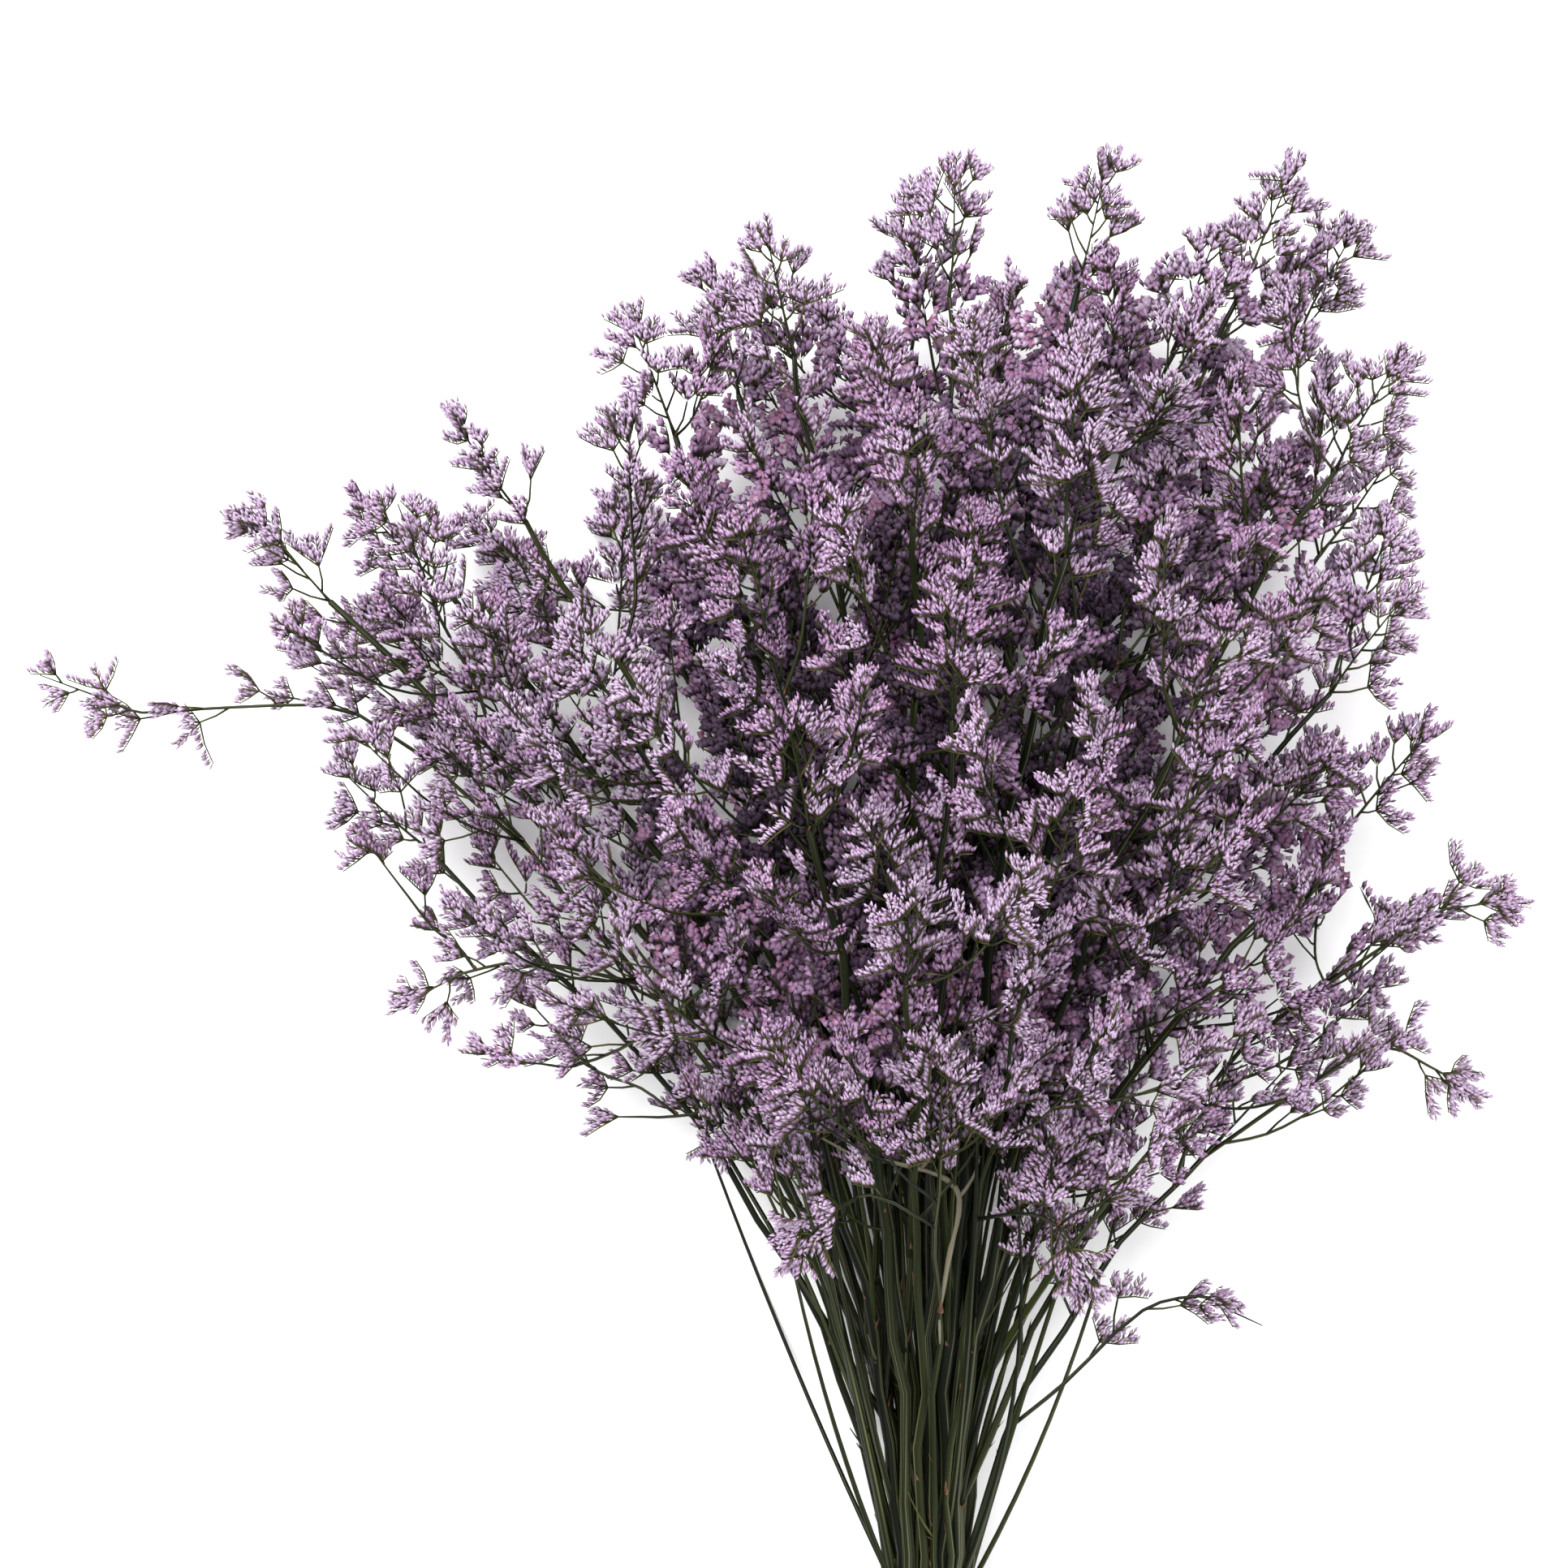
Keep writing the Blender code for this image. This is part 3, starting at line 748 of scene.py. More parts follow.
class FloretKind(Enum):
    """The stages of a floret."""

    BUD = "bud"
    OPEN = "open"
    DEEP = "deep"


@dataclass(frozen=True)
class FloretShape:
    """A floret of length one: where its two rings lie, how wide they are, and how high its middle ends.

    A floret without a waist is a bud with a single ring and a pointed end.
    """

    crown: float
    crown_width: float
    waist: float = 0.0
    waist_width: float = 1.0
    top: float = 1.0
    sides: int = 4

    def model(self, bench: Bench) -> Form:
        """Model the floret from a short cylinder with a point at each end.

        Args:
            bench: The bench to model on.

        Returns:
            The floret.
        """
        bench.start()
        bpy.ops.mesh.primitive_cylinder_add(vertices=self.sides, radius=0.5, depth=1.0, end_fill_type="TRIFAN",
                                            location=(0.0, 0.0, 0.5))
        bpy.ops.object.transform_apply(location=True)
        if not self.waist:
            bench.pick(1.0)
            bench.shape(self.crown_width, self.crown - 1.0, 1.0)
            bench.pick(0.0)
            bench.shape(self.crown_width, self.crown, 0.0)
            bpy.ops.mesh.select_all(action="SELECT")
            bpy.ops.mesh.remove_doubles(threshold=0.02)
            return bench.take()
        bench.pick(0.0)
        bench.shape(self.waist_width, self.waist, 0.0)
        bench.pick(1.0)
        bench.shape(self.crown_width, self.crown - 1.0, 1.0)
        bench.pick(1.0, pole=True)
        bench.shape(1.0, self.top - 1.0, 1.0)
        return bench.take()


FLORET_SHAPES = {
    FloretKind.BUD: FloretShape(crown=0.58, crown_width=1.1, sides=3),
    FloretKind.OPEN: FloretShape(crown=0.92, crown_width=1.2, waist=0.40, waist_width=0.62, top=0.78),
}


def model_deep_floret(bench: Bench, radius: float = 0.62, drop: float = 0.42) -> Form:
    """Model the plainest floret: a three-sided cone on its point, with one corner of its end left as the tip.

    Args:
        bench: The bench to model on.
        radius: Radius of its end.
        drop: How far the other corners of its end lie below the tip.

    Returns:
        The floret.
    """
    bench.start()
    bpy.ops.mesh.primitive_cone_add(vertices=3, radius1=0.0, radius2=radius, depth=1.0, end_fill_type="NGON",
                                    location=(0.0, 0.0, 0.5))
    bpy.ops.object.transform_apply(location=True)
    ring = [vertex for vertex in bpy.context.object.data.vertices if vertex.co.z > 0.9]
    highest = max(ring, key=lambda vertex: vertex.co.y)
    for vertex in bpy.context.object.data.vertices:
        vertex.select = vertex in ring and vertex != highest
    bpy.ops.object.mode_set(mode="EDIT")
    bpy.ops.transform.translate(value=(0.0, 0.0, -drop))
    return bench.take()


def model_bract(bench: Bench, hollow: float = 0.16, flatness: float = 0.3, lean: float = 0.16) -> Form:
    """Model a scale of length one: a flat pointed cone whose tip leans away from the stem.

    Args:
        bench: The bench to model on.
        hollow: How far its rim lies above its root.
        flatness: Its thickness, where one is as thick as wide.
        lean: How far its tip leans.

    Returns:
        The scale.
    """
    bench.start()
    bpy.ops.mesh.primitive_cone_add(vertices=4, radius1=0.5, radius2=0.0, depth=1.0, end_fill_type="TRIFAN",
                                    location=(0.0, 0.0, 0.5))
    bpy.ops.object.transform_apply(location=True)
    bench.pick(0.0)
    bench.shape(1.0, hollow, 0.0)
    bpy.ops.mesh.select_all(action="SELECT")
    bpy.ops.transform.resize(value=(1.0, flatness, 1.0), center_override=(0.0, 0.0, 0.0))
    bench.pick(1.0, pole=True)
    bpy.ops.transform.translate(value=(0.0, lean, 0.0))
    return bench.take()


def model_outline(bench: Bench, sides: int, groove: float) -> np.ndarray:
    """Model the outline of a ribbed stem: a ring whose every second corner is drawn in.

    Args:
        bench: The bench to model on.
        sides: Corners of the ring.
        groove: Radius of the grooves, where the ribs have radius one.

    Returns:
        The corners across and up, in rows, in order round the stem.
    """
    bench.start()
    bpy.ops.mesh.primitive_circle_add(vertices=sides, radius=1.0, fill_type="NOTHING", location=(0.0, 0.0, 0.0))
    bpy.ops.object.mode_set(mode="EDIT")
    bpy.ops.mesh.select_mode(type="VERT")
    bpy.ops.object.mode_set(mode="OBJECT")
    for place, vertex in enumerate(bpy.context.object.data.vertices):
        vertex.select = place % 2 == 1
    bpy.ops.object.mode_set(mode="EDIT")
    bpy.ops.transform.resize(value=(groove, groove, 1.0), center_override=(0.0, 0.0, 0.0))
    bpy.ops.object.mode_set(mode="OBJECT")
    corners = np.array([vertex.co for vertex in bpy.context.object.data.vertices])[:, :2]
    bench.clear()
    return corners[np.argsort(np.arctan2(corners[:, 1], corners[:, 0]))]


def map_triangles(*corners: tuple) -> np.ndarray:
    """Places of triangles on a piece's colour map.

    Args:
        corners: Where their first, second and third corners lie across and along the piece, from zero to one.

    Returns:
        The places of the three corners, for each triangle.
    """
    columns = np.broadcast_arrays(*(column for corner in corners for column in corner))
    return np.stack(columns, -1).reshape(-1, 3, 2)


def inset(shares: np.ndarray) -> np.ndarray:
    """Shares of a piece's length as places along the colour map, clear of its edges."""
    return MAP_EDGE + (1 - 2 * MAP_EDGE) * shares


@dataclass
class Heap:
    """A growing mesh in millimetres: points, triangles, and each triangle's places on the colour map."""

    points: list[np.ndarray] = field(default_factory=list)
    triangles: list[np.ndarray] = field(default_factory=list)
    places: list[np.ndarray] = field(default_factory=list)
    count: int = 0

    def add(self, points: np.ndarray, triangles: np.ndarray, places: np.ndarray) -> None:
        """Add points with their triangles and the places of the triangles' corners.

        Args:
            points: The points, in rows.
            triangles: The triangles' corners, counted in these points.
            places: Where each corner lies on the colour map.
        """
        self.points.append(points)
        self.triangles.append(triangles + self.count)
        self.places.append(places)
        self.count += len(points)

    def copy(self, form: Form, roots: np.ndarray, axes: np.ndarray, tones: np.ndarray, width: float) -> None:
        """Copy a form.

        Args:
            form: The form.
            roots: Where each copy starts, in rows.
            axes: Each copy's across, up and along directions at its size, as rows of a matrix.
            tones: Each copy's place across the colour map.
            width: How much of the colour map's width a copy takes.
        """
        if not len(roots):
            return
        number = len(form.points)
        points = roots[:, None, :] + np.einsum("pk,nkc->npc", form.points, axes)
        triangles = form.triangles[None] + (np.arange(len(roots)) * number)[:, None, None]
        corners = form.places[form.triangles]
        across = tones[:, None, None] + width * (corners[None, ..., 0] - 0.5)
        along = np.broadcast_to(inset(corners[None, ..., 1]), across.shape)
        self.add(points.reshape(-1, 3), triangles.reshape(-1, 3), np.stack((across, along), -1).reshape(-1, 3, 2))

    def sweep(self, path: Path, radii: np.ndarray, outline: np.ndarray, facing: Point, tone: float,
              width: float = 0.05, twist: float = 0.0, cut_tone: float | None = None) -> None:
        """Run an outline along a path, with a point or a cut at its start and a point at its end.

        Args:
            path: The middle line.
            radii: The radius at each of its points.
            outline: The outline at radius one, in rows.
            facing: The direction that the outline's second axis keeps to.
            tone: Place across the colour map.
            width: How much of the colour map's width the outline takes.
            twist: Turn of the outline over the whole path, in radians.
            cut_tone: Place of a cut start on the colour map, or None for a plain start.
        """
        points, sides = path.points, len(outline)
        headings = units(np.gradient(points, axis=0))
        tops = units(facing - (headings @ facing)[:, None] * headings)
        across = np.cross(tops, headings)
        turns = np.linspace(0, twist, len(points))[:, None]
        corners_x = outline[:, 0] * np.cos(turns) - outline[:, 1] * np.sin(turns)
        corners_y = outline[:, 0] * np.sin(turns) + outline[:, 1] * np.cos(turns)
        rings = points[:, None] + radii[:, None, None] * (corners_x[..., None] * across[:, None]
                                                          + corners_y[..., None] * tops[:, None])
        corner, count = np.arange(sides), len(points) * sides
        following = np.roll(corner, -1)
        rows = np.arange(len(points) - 1)[:, None] * sides
        low, beside = rows + corner, rows + following
        lower = np.stack((low, beside, low + sides), -1).reshape(-1, 3)
        upper = np.stack((beside, beside + sides, low + sides), -1).reshape(-1, 3)
        start_cap = np.stack((following, corner, np.full(sides, count)), -1)
        end_cap = np.stack((corner, following, np.full(sides, sides + 1)), -1) + count - sides
        begin, finish = corner / sides, (corner + 1) / sides
        middle, below, above = (begin + finish) / 2, path.shares[:-1, None], path.shares[1:, None]
        places = np.concatenate((
            map_triangles((begin, below), (finish, below), (begin, above)),
            map_triangles((finish, below), (finish, above), (begin, above)),
            map_triangles((finish, END_SHARE), (begin, END_SHARE), (middle, 0.0)),
            map_triangles((begin, 1 - END_SHARE), (finish, 1 - END_SHARE), (middle, 1.0))))
        places = np.stack((tone + width * (places[..., 0] - 0.5), inset(places[..., 1])), -1)
        if cut_tone is not None:
            cut = slice(len(places) - 2 * sides, len(places) - sides)
            places[cut, :, 0] = cut_tone + 0.03 * (places[cut, :, 0] - tone) / width
        poles = np.stack((points[0], points[-1] + headings[-1] * radii[-1]))
        self.add(np.concatenate((rings.reshape(-1, 3), poles)),
                 np.concatenate((lower, upper, start_cap, end_cap)), places)

    def make(self, name: str, offset: Point, material: bpy.types.Material) -> bpy.types.Object:
        """Make the piece.

        Args:
            name: The piece's name.
            offset: Where the middle of the tie lies in the row frame, in metres.
            material: What the piece is made of.

        Returns:
            The piece's object, at the origin, with its place in its mesh.
        """
        points = np.concatenate(self.points) * MM + offset
        triangles, places = np.concatenate(self.triangles), np.concatenate(self.places)
        mesh = bpy.data.meshes.new(name)
        mesh.vertices.add(len(points))
        mesh.vertices.foreach_set("co", points.astype(np.float32).ravel())
        mesh.loops.add(triangles.size)
        mesh.loops.foreach_set("vertex_index", triangles.astype(np.int32).ravel())
        mesh.polygons.add(len(triangles))
        mesh.polygons.foreach_set("loop_start", np.arange(0, triangles.size, 3, dtype=np.int32))
        mesh.polygons.foreach_set("use_smooth", np.ones(len(triangles), dtype=bool))
        mesh.uv_layers.new(name=COLOUR_MAP).data.foreach_set("uv", places.astype(np.float32).ravel())
        mesh.update()
        mesh.validate()
        mesh.materials.append(material)
        piece = bpy.data.objects.new(name, mesh)
        bpy.context.scene.collection.objects.link(piece)
        return piece


@dataclass(frozen=True)
class Grain:
    """Cloudy noise: how fine it is across and along a piece, how many finer layers it has, and its shift along."""

    across: float
    along: float
    detail: float
    shift: float = 0.0


class Value:
    """A number that varies over a surface. Plain arithmetic on it adds Math nodes."""

    def __init__(self, paint: "Paint", socket: bpy.types.NodeSocket) -> None:
        """Wrap a socket of a paint."""
        self.paint, self.socket = paint, socket

    def maths(self, operation: str, first: "Value | float", second: "Value | float") -> "Value":
        """Add one Math node, and give its result."""
        node = self.paint.node("ShaderNodeMath", {"operation": operation}, {0: first, 1: second})
        return Value(self.paint, node.outputs[0])

    def __add__(self, other: "Value | float") -> "Value":
        """This value plus another."""
        return self.maths("ADD", self, other)

    def __radd__(self, other: float) -> "Value":
        """A number plus this value."""
        return self.maths("ADD", other, self)

    def __sub__(self, other: "Value | float") -> "Value":
        """This value less another."""
        return self.maths("SUBTRACT", self, other)

    def __rsub__(self, other: float) -> "Value":
        """A number less this value."""
        return self.maths("SUBTRACT", other, self)

    def __mul__(self, other: "Value | float") -> "Value":
        """This value times another."""
        return self.maths("MULTIPLY", self, other)

    def __rmul__(self, other: float) -> "Value":
        """A number times this value."""
        return self.maths("MULTIPLY", other, self)


class Paint:
    """One material, whose surface is a Principled BSDF."""

    def __init__(self, name: str, roughness: float, gloss: float = 0.5) -> None:
        """Start a material of an even roughness, which mirrors light at a level of zero to one.

        Args:
            name: Its name.
            roughness: Its roughness.
            gloss: How much it mirrors.
        """
        self.material = bpy.data.materials.new(name)
        self.material.use_nodes = True
        self.tree = self.material.node_tree
        self.surface = self.tree.nodes["Principled BSDF"]
        self.surface.inputs["Roughness"].default_value = roughness
        self.surface.inputs["Metallic"].default_value = 0.0
        self.surface.inputs["Specular IOR Level"].default_value = gloss

    def node(self, kind: str, settings: dict, values: dict) -> bpy.types.Node:
        """Add a node.

        Args:
            kind: The node's type.
            settings: Its settings, such as an operation, or a ramp's stops.
            values: Values or links of its sockets, by their name or place.

        Returns:
            The node.
        """
        node = self.tree.nodes.new(kind)
        for name, setting in settings.items():
            if name == "stops":
                for place, (position, colour) in enumerate(setting):
                    stop = node.color_ramp.elements
                    stop = stop[place] if place < 2 else stop.new(position)
                    stop.position, stop.color = position, (*colour, 1.0)
            else:
                setattr(node, name, setting)
        for name, value in values.items():
            if isinstance(value, Value):
                self.tree.links.new(value.socket, node.inputs[name])
            elif isinstance(value, bpy.types.NodeSocket):
                self.tree.links.new(value, node.inputs[name])
            else:
                node.inputs[name].default_value = value
        return node

    def map_place(self) -> tuple[Value, Value]:
        """Where a point lies across and along the piece's own colour map.

        Returns:
            Both places.
        """
        place = self.node("ShaderNodeUVMap", {"uv_map": COLOUR_MAP}, {}).outputs["UV"]
        split = self.node("ShaderNodeSeparateXYZ", {}, {"Vector": place})
        return Value(self, split.outputs["X"]), Value(self, split.outputs["Y"])

    def ramp(self, value: Value, stops: tuple) -> bpy.types.NodeSocket:
        """A colour that runs through stops, given as the red, green and blue that the studio shows."""
        stops = [(position, tuple(part / EXPOSURE for part in linear(colour))) for position, colour in stops]
        return self.node("ShaderNodeValToRGB", {"stops": stops}, {"Fac": value}).outputs["Color"]

    def step(self, value: Value, low: float, high: float) -> Value:
        """Zero below low, one above high, and smooth between them.

        Args:
            value: What is read.
            low: Where it starts to rise.
            high: Where it stops.

        Returns:
            The step.
        """
        node = self.node("ShaderNodeMapRange", {"interpolation_type": "SMOOTHSTEP"},
                         {"Value": value, "From Min": low, "From Max": high})
        return Value(self, node.outputs["Result"])

    def noise(self, across: Value, along: Value, grain: Grain) -> Value:
        """Cloudy noise over a piece.

        Args:
            across: Place across the piece's colour map.
            along: Place along it.
            grain: How fine it is.

        Returns:
            The noise.
        """
        along = along * grain.along
        if grain.shift:
            along = along + grain.shift
        place = self.node("ShaderNodeCombineXYZ", {}, {"X": across * grain.across, "Y": along}).outputs["Vector"]
        node = self.node("ShaderNodeTexNoise", {"noise_dimensions": "2D"},
                         {"Vector": place, "Scale": 1.0, "Detail": grain.detail})
        return Value(self, node.outputs["Fac"])

    def mix(self, first: bpy.types.NodeSocket, second: bpy.types.NodeSocket, factor: Value) -> bpy.types.NodeSocket:
        """Mix two colours."""
        return self.node("ShaderNodeMix", {"data_type": "RGBA"}, {0: factor, 6: first, 7: second}).outputs[2]

    def scaled(self, colour: bpy.types.NodeSocket, shade: Value) -> bpy.types.NodeSocket:
        """A colour, darkened or brightened."""
        grey = self.node("ShaderNodeCombineXYZ", {}, {"X": shade, "Y": shade, "Z": shade}).outputs["Vector"]
        return self.node("ShaderNodeVectorMath", {"operation": "MULTIPLY"}, {0: colour, 1: grey}).outputs["Vector"]

    def colour(self, socket: bpy.types.NodeSocket) -> bpy.types.Material:
        """Give the surface its colour, and return the finished material."""
        self.tree.links.new(socket, self.surface.inputs["Base Color"])
        return self.material


def linear(colour: tuple[int, int, int]) -> tuple[float, ...]:
    """A screen colour of 0 to 255 as linear light."""
    shares = [part / 255 for part in colour]
    return tuple(part / 12.92 if part <= 0.04045 else ((part + 0.055) / 1.055) ** 2.4 for part in shares)


@dataclass(frozen=True)
class FloretFinish:
    """Dry papery florets: olive at the base, rosy in the middle and lilac to lavender at the tip.

    A floret's place across the colour map sets how fresh it is, from faded brown at zero to bright at one. It also
    carries painted shade: florets deep in the head sit low and are darkened further, while those near the head's rim
    are lifted as painted light.
    """

    fresh: tuple = ((0.0, (96, 94, 56)), (0.24, (132, 116, 92)), (0.42, (168, 140, 160)),
                    (0.7, (206, 181, 215)), (1.0, (229, 210, 231)))
    rosy: tuple = ((0.0, (80, 80, 46)), (0.24, (112, 94, 76)), (0.44, (160, 126, 162)),
                   (0.68, (201, 167, 209)), (0.84, (180, 118, 158)), (1.0, (136, 66, 88)))
    faded: tuple = ((0.0, (64, 66, 36)), (0.32, (96, 84, 62)), (0.55, (144, 112, 146)), (1.0, (186, 151, 189)))
    roughness: float = 0.78
    mottle: float = 0.34
    gloss: float = 0.15
    # painted shade: florets low across the colour map, those deep in the head, are darkened down to this share of
    # their colour
    darkest_painted_shade: float = 0.14
    grain: Grain = Grain(220.0, 5.0, 2.0)
    rosy_to_fresh: Range = (0.38, 0.72)
    faded_to_rosy: Range = (0.20, 0.50)
    painted_shade_to_full: Range = (0.0, 0.34)

    def build(self) -> bpy.types.Material:
        """Make the material.

        Returns:
            The material.
        """
        paint = Paint("dry_floret", self.roughness, self.gloss)
        across, along = paint.map_place()
        fresh, rosy, faded = (paint.ramp(along, stops) for stops in (self.fresh, self.rosy, self.faded))
        lively = paint.mix(rosy, fresh, paint.step(across, *self.rosy_to_fresh))
        colour = paint.mix(faded, lively, paint.step(across, *self.faded_to_rosy))
        mottled = paint.noise(across, along, self.grain)
        # painted shade: darken the florets that lie low across the colour map, which are those deep inside the head
        painted_dimming = self.darkest_painted_shade + (1.0 - self.darkest_painted_shade) * paint.step(across, *self.painted_shade_to_full)
        shade = painted_dimming * (1.0 + self.mottle * (mottled - 0.5))
        return paint.colour(paint.scaled(colour, shade))


@dataclass(frozen=True)
class StemFinish:
    """Dried stems, whose place across the colour map runs from dark green through grey-green to brown and pith, with
    painted highlights as pale streaks along their ribs.
    """

    tones: tuple = ((0.0, (6, 10, 3)), (0.2, (15, 22, 6)), (0.42, (40, 47, 13)), (0.62, (78, 78, 36)),
                    (0.74, (136, 130, 117)), (0.82, (92, 62, 44)), (0.9, (84, 56, 40)), (0.96, (190, 178, 136)))
    # painted highlights: pale streaks along the stems that stand for light on their ribs
    painted_highlights: tuple = ((0.0, (104, 108, 74)), (0.62, (128, 126, 92)), (0.8, (150, 112, 84)), (1.0, (190, 178, 136)))
    highlight_share: float = 0.55
    highlight_edge: Range = (0.61, 0.67)
    highlight_grain: Grain = Grain(300.0, 1.5, 1.0, 7.0)
    streak_grain: Grain = Grain(260.0, 3.0, 3.0)
    roughness: float = 0.48
    streaks: float = 0.9
    gloss: float = 0.14

    def build(self) -> bpy.types.Material:
        """Make the material.

        Returns:
            The material.
        """
        paint = Paint("dried_stem", self.roughness, self.gloss)
        across, along = paint.map_place()
        colour = paint.ramp(across, self.tones)
        streaked = paint.noise(across, along, self.streak_grain)
        # painted highlights: pale streaks mixed over the stem's colour
        painted_highlights = paint.step(paint.noise(across, along, self.highlight_grain), *self.highlight_edge)
        colour = paint.mix(colour, paint.ramp(across, self.painted_highlights), painted_highlights * self.highlight_share)
        return paint.colour(paint.scaled(colour, 1.0 + self.streaks * (streaked - 0.5)))


@dataclass(frozen=True)
class TwineFinish:
    """Natural twine, darker between its strands and streaked along them."""

    tones: tuple = ((0.3, (138, 104, 64)), (0.65, (196, 164, 116)))
    grain: Grain = Grain(60.0, 240.0, 3.0)
    roughness: float = 0.9

    def build(self) -> bpy.types.Material:
        """Make the material.

        Returns:
            The material.
        """
        paint = Paint("natural_twine", self.roughness)
        across, along = paint.map_place()
        return paint.colour(paint.ramp(paint.noise(across, along, self.grain), self.tones))


OUTLINES = ((10, 0.84), (6, 0.86), (4, 1.0), (3, 1.0))  # corners and groove: ribbed, angular, square and slim


@dataclass
class Forms:
    """All that is modelled once and copied or run along a line."""

    florets: dict[FloretKind, Form]
    bract: Form
    ribbed: np.ndarray
    angular: np.ndarray
    square: np.ndarray
    slim: np.ndarray

    @classmethod
    def model(cls) -> "Forms":
        """Model the forms.

        Returns:
            The forms.
        """
        bench = Bench()
        florets = {kind: shape.model(bench) for kind, shape in FLORET_SHAPES.items()}
        florets[FloretKind.DEEP] = model_deep_floret(bench)
        outlines = (model_outline(bench, sides, groove) for sides, groove in OUTLINES)
        return cls(florets, model_bract(bench), *outlines)


@dataclass(frozen=True)
class StemHabit:
    """How a main stem bends and thickens, in millimetres. A rise is where it starts above the tie, and its length."""

    wave: float = 1.1
    wave_lengths: Range = (58.0, 97.0)
    wave_rise: Range = (12.0, 50.0)
    taper: float = 0.95
    knob: float = 0.05
    knob_length: float = 9.0
    swell: Range = (0.0, 0.5)
    swell_rise: Range = (30.0, 50.0)
    girth: Range = (-0.22, 0.55)
    girth_rise: Range = (15.0, 45.0)
    flattest: Range = (1.0, 0.76)
    fullest: Range = (1.22, 0.96)
    tones: Range = (0.04, 0.34)
    twist: Range = (-1.2, 1.2)
    pith_tone: float = 0.97


@dataclass(frozen=True)
class TwigHabit:
    """How a side branch bows away from what it grows from, and carries its clusters, in millimetres."""

    bow: float = 0.07
    bow_lean: float = 0.98
    leader_radius: float = 0.95
    stalk_radius: float = 0.85
    second_radius: float = 0.8
    fan_radius: float = 0.6
    tones: Range = (0.12, 0.46)
    bract_length: Range = (3.0, 5.0)
    bract_width: float = 1.7
    bract_tones: Range = (0.82, 0.88)
    bract_lean: float = 0.25
    bract_offset: float = 0.7
    freshness: Range = (0.36, 0.9)
    leader_reach: float = 1.9
    stalk_fullness: float = 0.6
    stalk_stretch: Range = (0.42, 0.56)


@dataclass(frozen=True)
class CombHabit:
    """How a comb carries its florets, in millimetres and degrees."""

    spacing: float = 1.03
    fewest: int = 5
    bare: float = 0.02
    floret_length: Range = (3.8, 4.9)
    floret_width: float = 1.52
    width_spread: Range = (0.84, 1.14)
    plain_length: float = 0.15
    plain_width: float = 0.7
    tip_start: float = 0.6
    tip_slimming: float = 0.30
    tip_fading: float = 0.1
    root_offset: float = 0.15
    upright: float = 0.85
    rank_angle: float = 25.0
    flat_rank_angle: float = 74.0
    tilt: float = 52.0
    wander: float = 9.0
    stray: float = 0.12
    facing_stray: float = 0.09
    facing_outward: Range = (0.15, 0.6)
    open_share: float = 0.03
    root_radius: float = 0.42
    tip_radius: float = 0.24
    rachis_tones: Range = (0.30, 0.66)
    comb_tone_spread: float = 0.10
    tone_spread: float = 0.2
    comb_tones: Range = (0.02, 0.96)
    floret_tones: Range = (0.02, 0.97)
    inner_cover: float = 16.0
    deep_cover: float = 44.0
    plain_spacing: Range = (1.0, 2.3)
    # painted shade: clusters deep inside the head are pushed towards the dark, faded end of the colour map
    painted_shade_depths: Range = (16.0, 60.0)
    deep_painted_shade: float = 0.92
    # painted light: clusters near the head's outline are lifted and kept above the painted shade
    rim_painted_light_depths: Range = (20.0, 75.0)
    rim_painted_light_tones: tuple[Range, Range] = ((0.40, 0.03), (0.14, 0.0))


@dataclass(frozen=True)
class FanHabit:
    """How clusters of combs stand along a branchlet, in millimetres and degrees."""

    spacing: float = 5.1
    fewest: int = 3
    end: float = 0.84
    end_heading: float = 0.95
    end_size: float = 0.92
    end_breadth: float = 0.6
    stalk: Range = (2.5, 9.0)
    stalk_taper: Range = (1.15, 0.6)
    size_taper: Range = (1.08, 0.3)
    angle: Range = (36.0, 70.0)
    lift: float = 38.0
    roll: float = 36.0
    sparse_depth: float = 32.0
    inner_share: float = 0.50
    low_height: float = 300.0
    low_side: float = 60.0
    low_share: float = 0.36
    wing_side: float = -105.0
    wing_share: float = 0.76
    right_side: float = 92.0
    crown_height: float = 408.0
    wide_places: tuple = ((92.0, 200.0, 295.0, 500.0), (-215.0, -105.0, 405.0, 540.0))
    wide_reach: float = 1.55
    stem_start: float = 0.50
    stem_spacing: float = 15.0
    stem_stalk: Range = (5.0, 16.0)
    stem_angle: Range = (30.0, 58.0)
    stem_stray: float = 0.6
    stem_freshness: Range = (0.3, 0.75)


@dataclass(frozen=True)
class ClusterHabit:
    """How a cluster's stalk bends and splits into combs, in millimetres and degrees."""

    bend: Range = (0.5, 1.3)
    flatness: float = 0.42
    bare_stalk: float = 2.0
    stalk_radii: Range = (0.55, 0.42)
    stalk_tones: Range = (0.20, 0.58)
    combs: tuple[int, int] = (3, 6)
    comb: Range = (8.5, 17.0)
    splay: Range = (36.0, 76.0)
    normal_stray: float = 0.35
    place_stray: float = 0.15
    tilt: float = 26.0
    comb_bend: Range = (-0.2, 1.0)
    comb_stray: float = 0.2
    middle_shortening: float = 0.42
    # the wing counts as nearer its rim, which gives it less painted shade, more painted light and fewer plain combs
    wing_rim: float = 0.35
    # how deep the painted shade may reach, as a share of the distance to the head's outline
    inside_share: float = 0.6
    tone_spread: float = 0.10
    highest_tone: float = 0.96
    side_comb: float = 0.55
    side_from: float = 0.35
    side_place: Range = (0.25, 0.5)
    side_length: Range = (0.5, 0.68)
    side_outer: float = 0.45
    side_inward: float = 0.6
    side_bend: float = 0.3


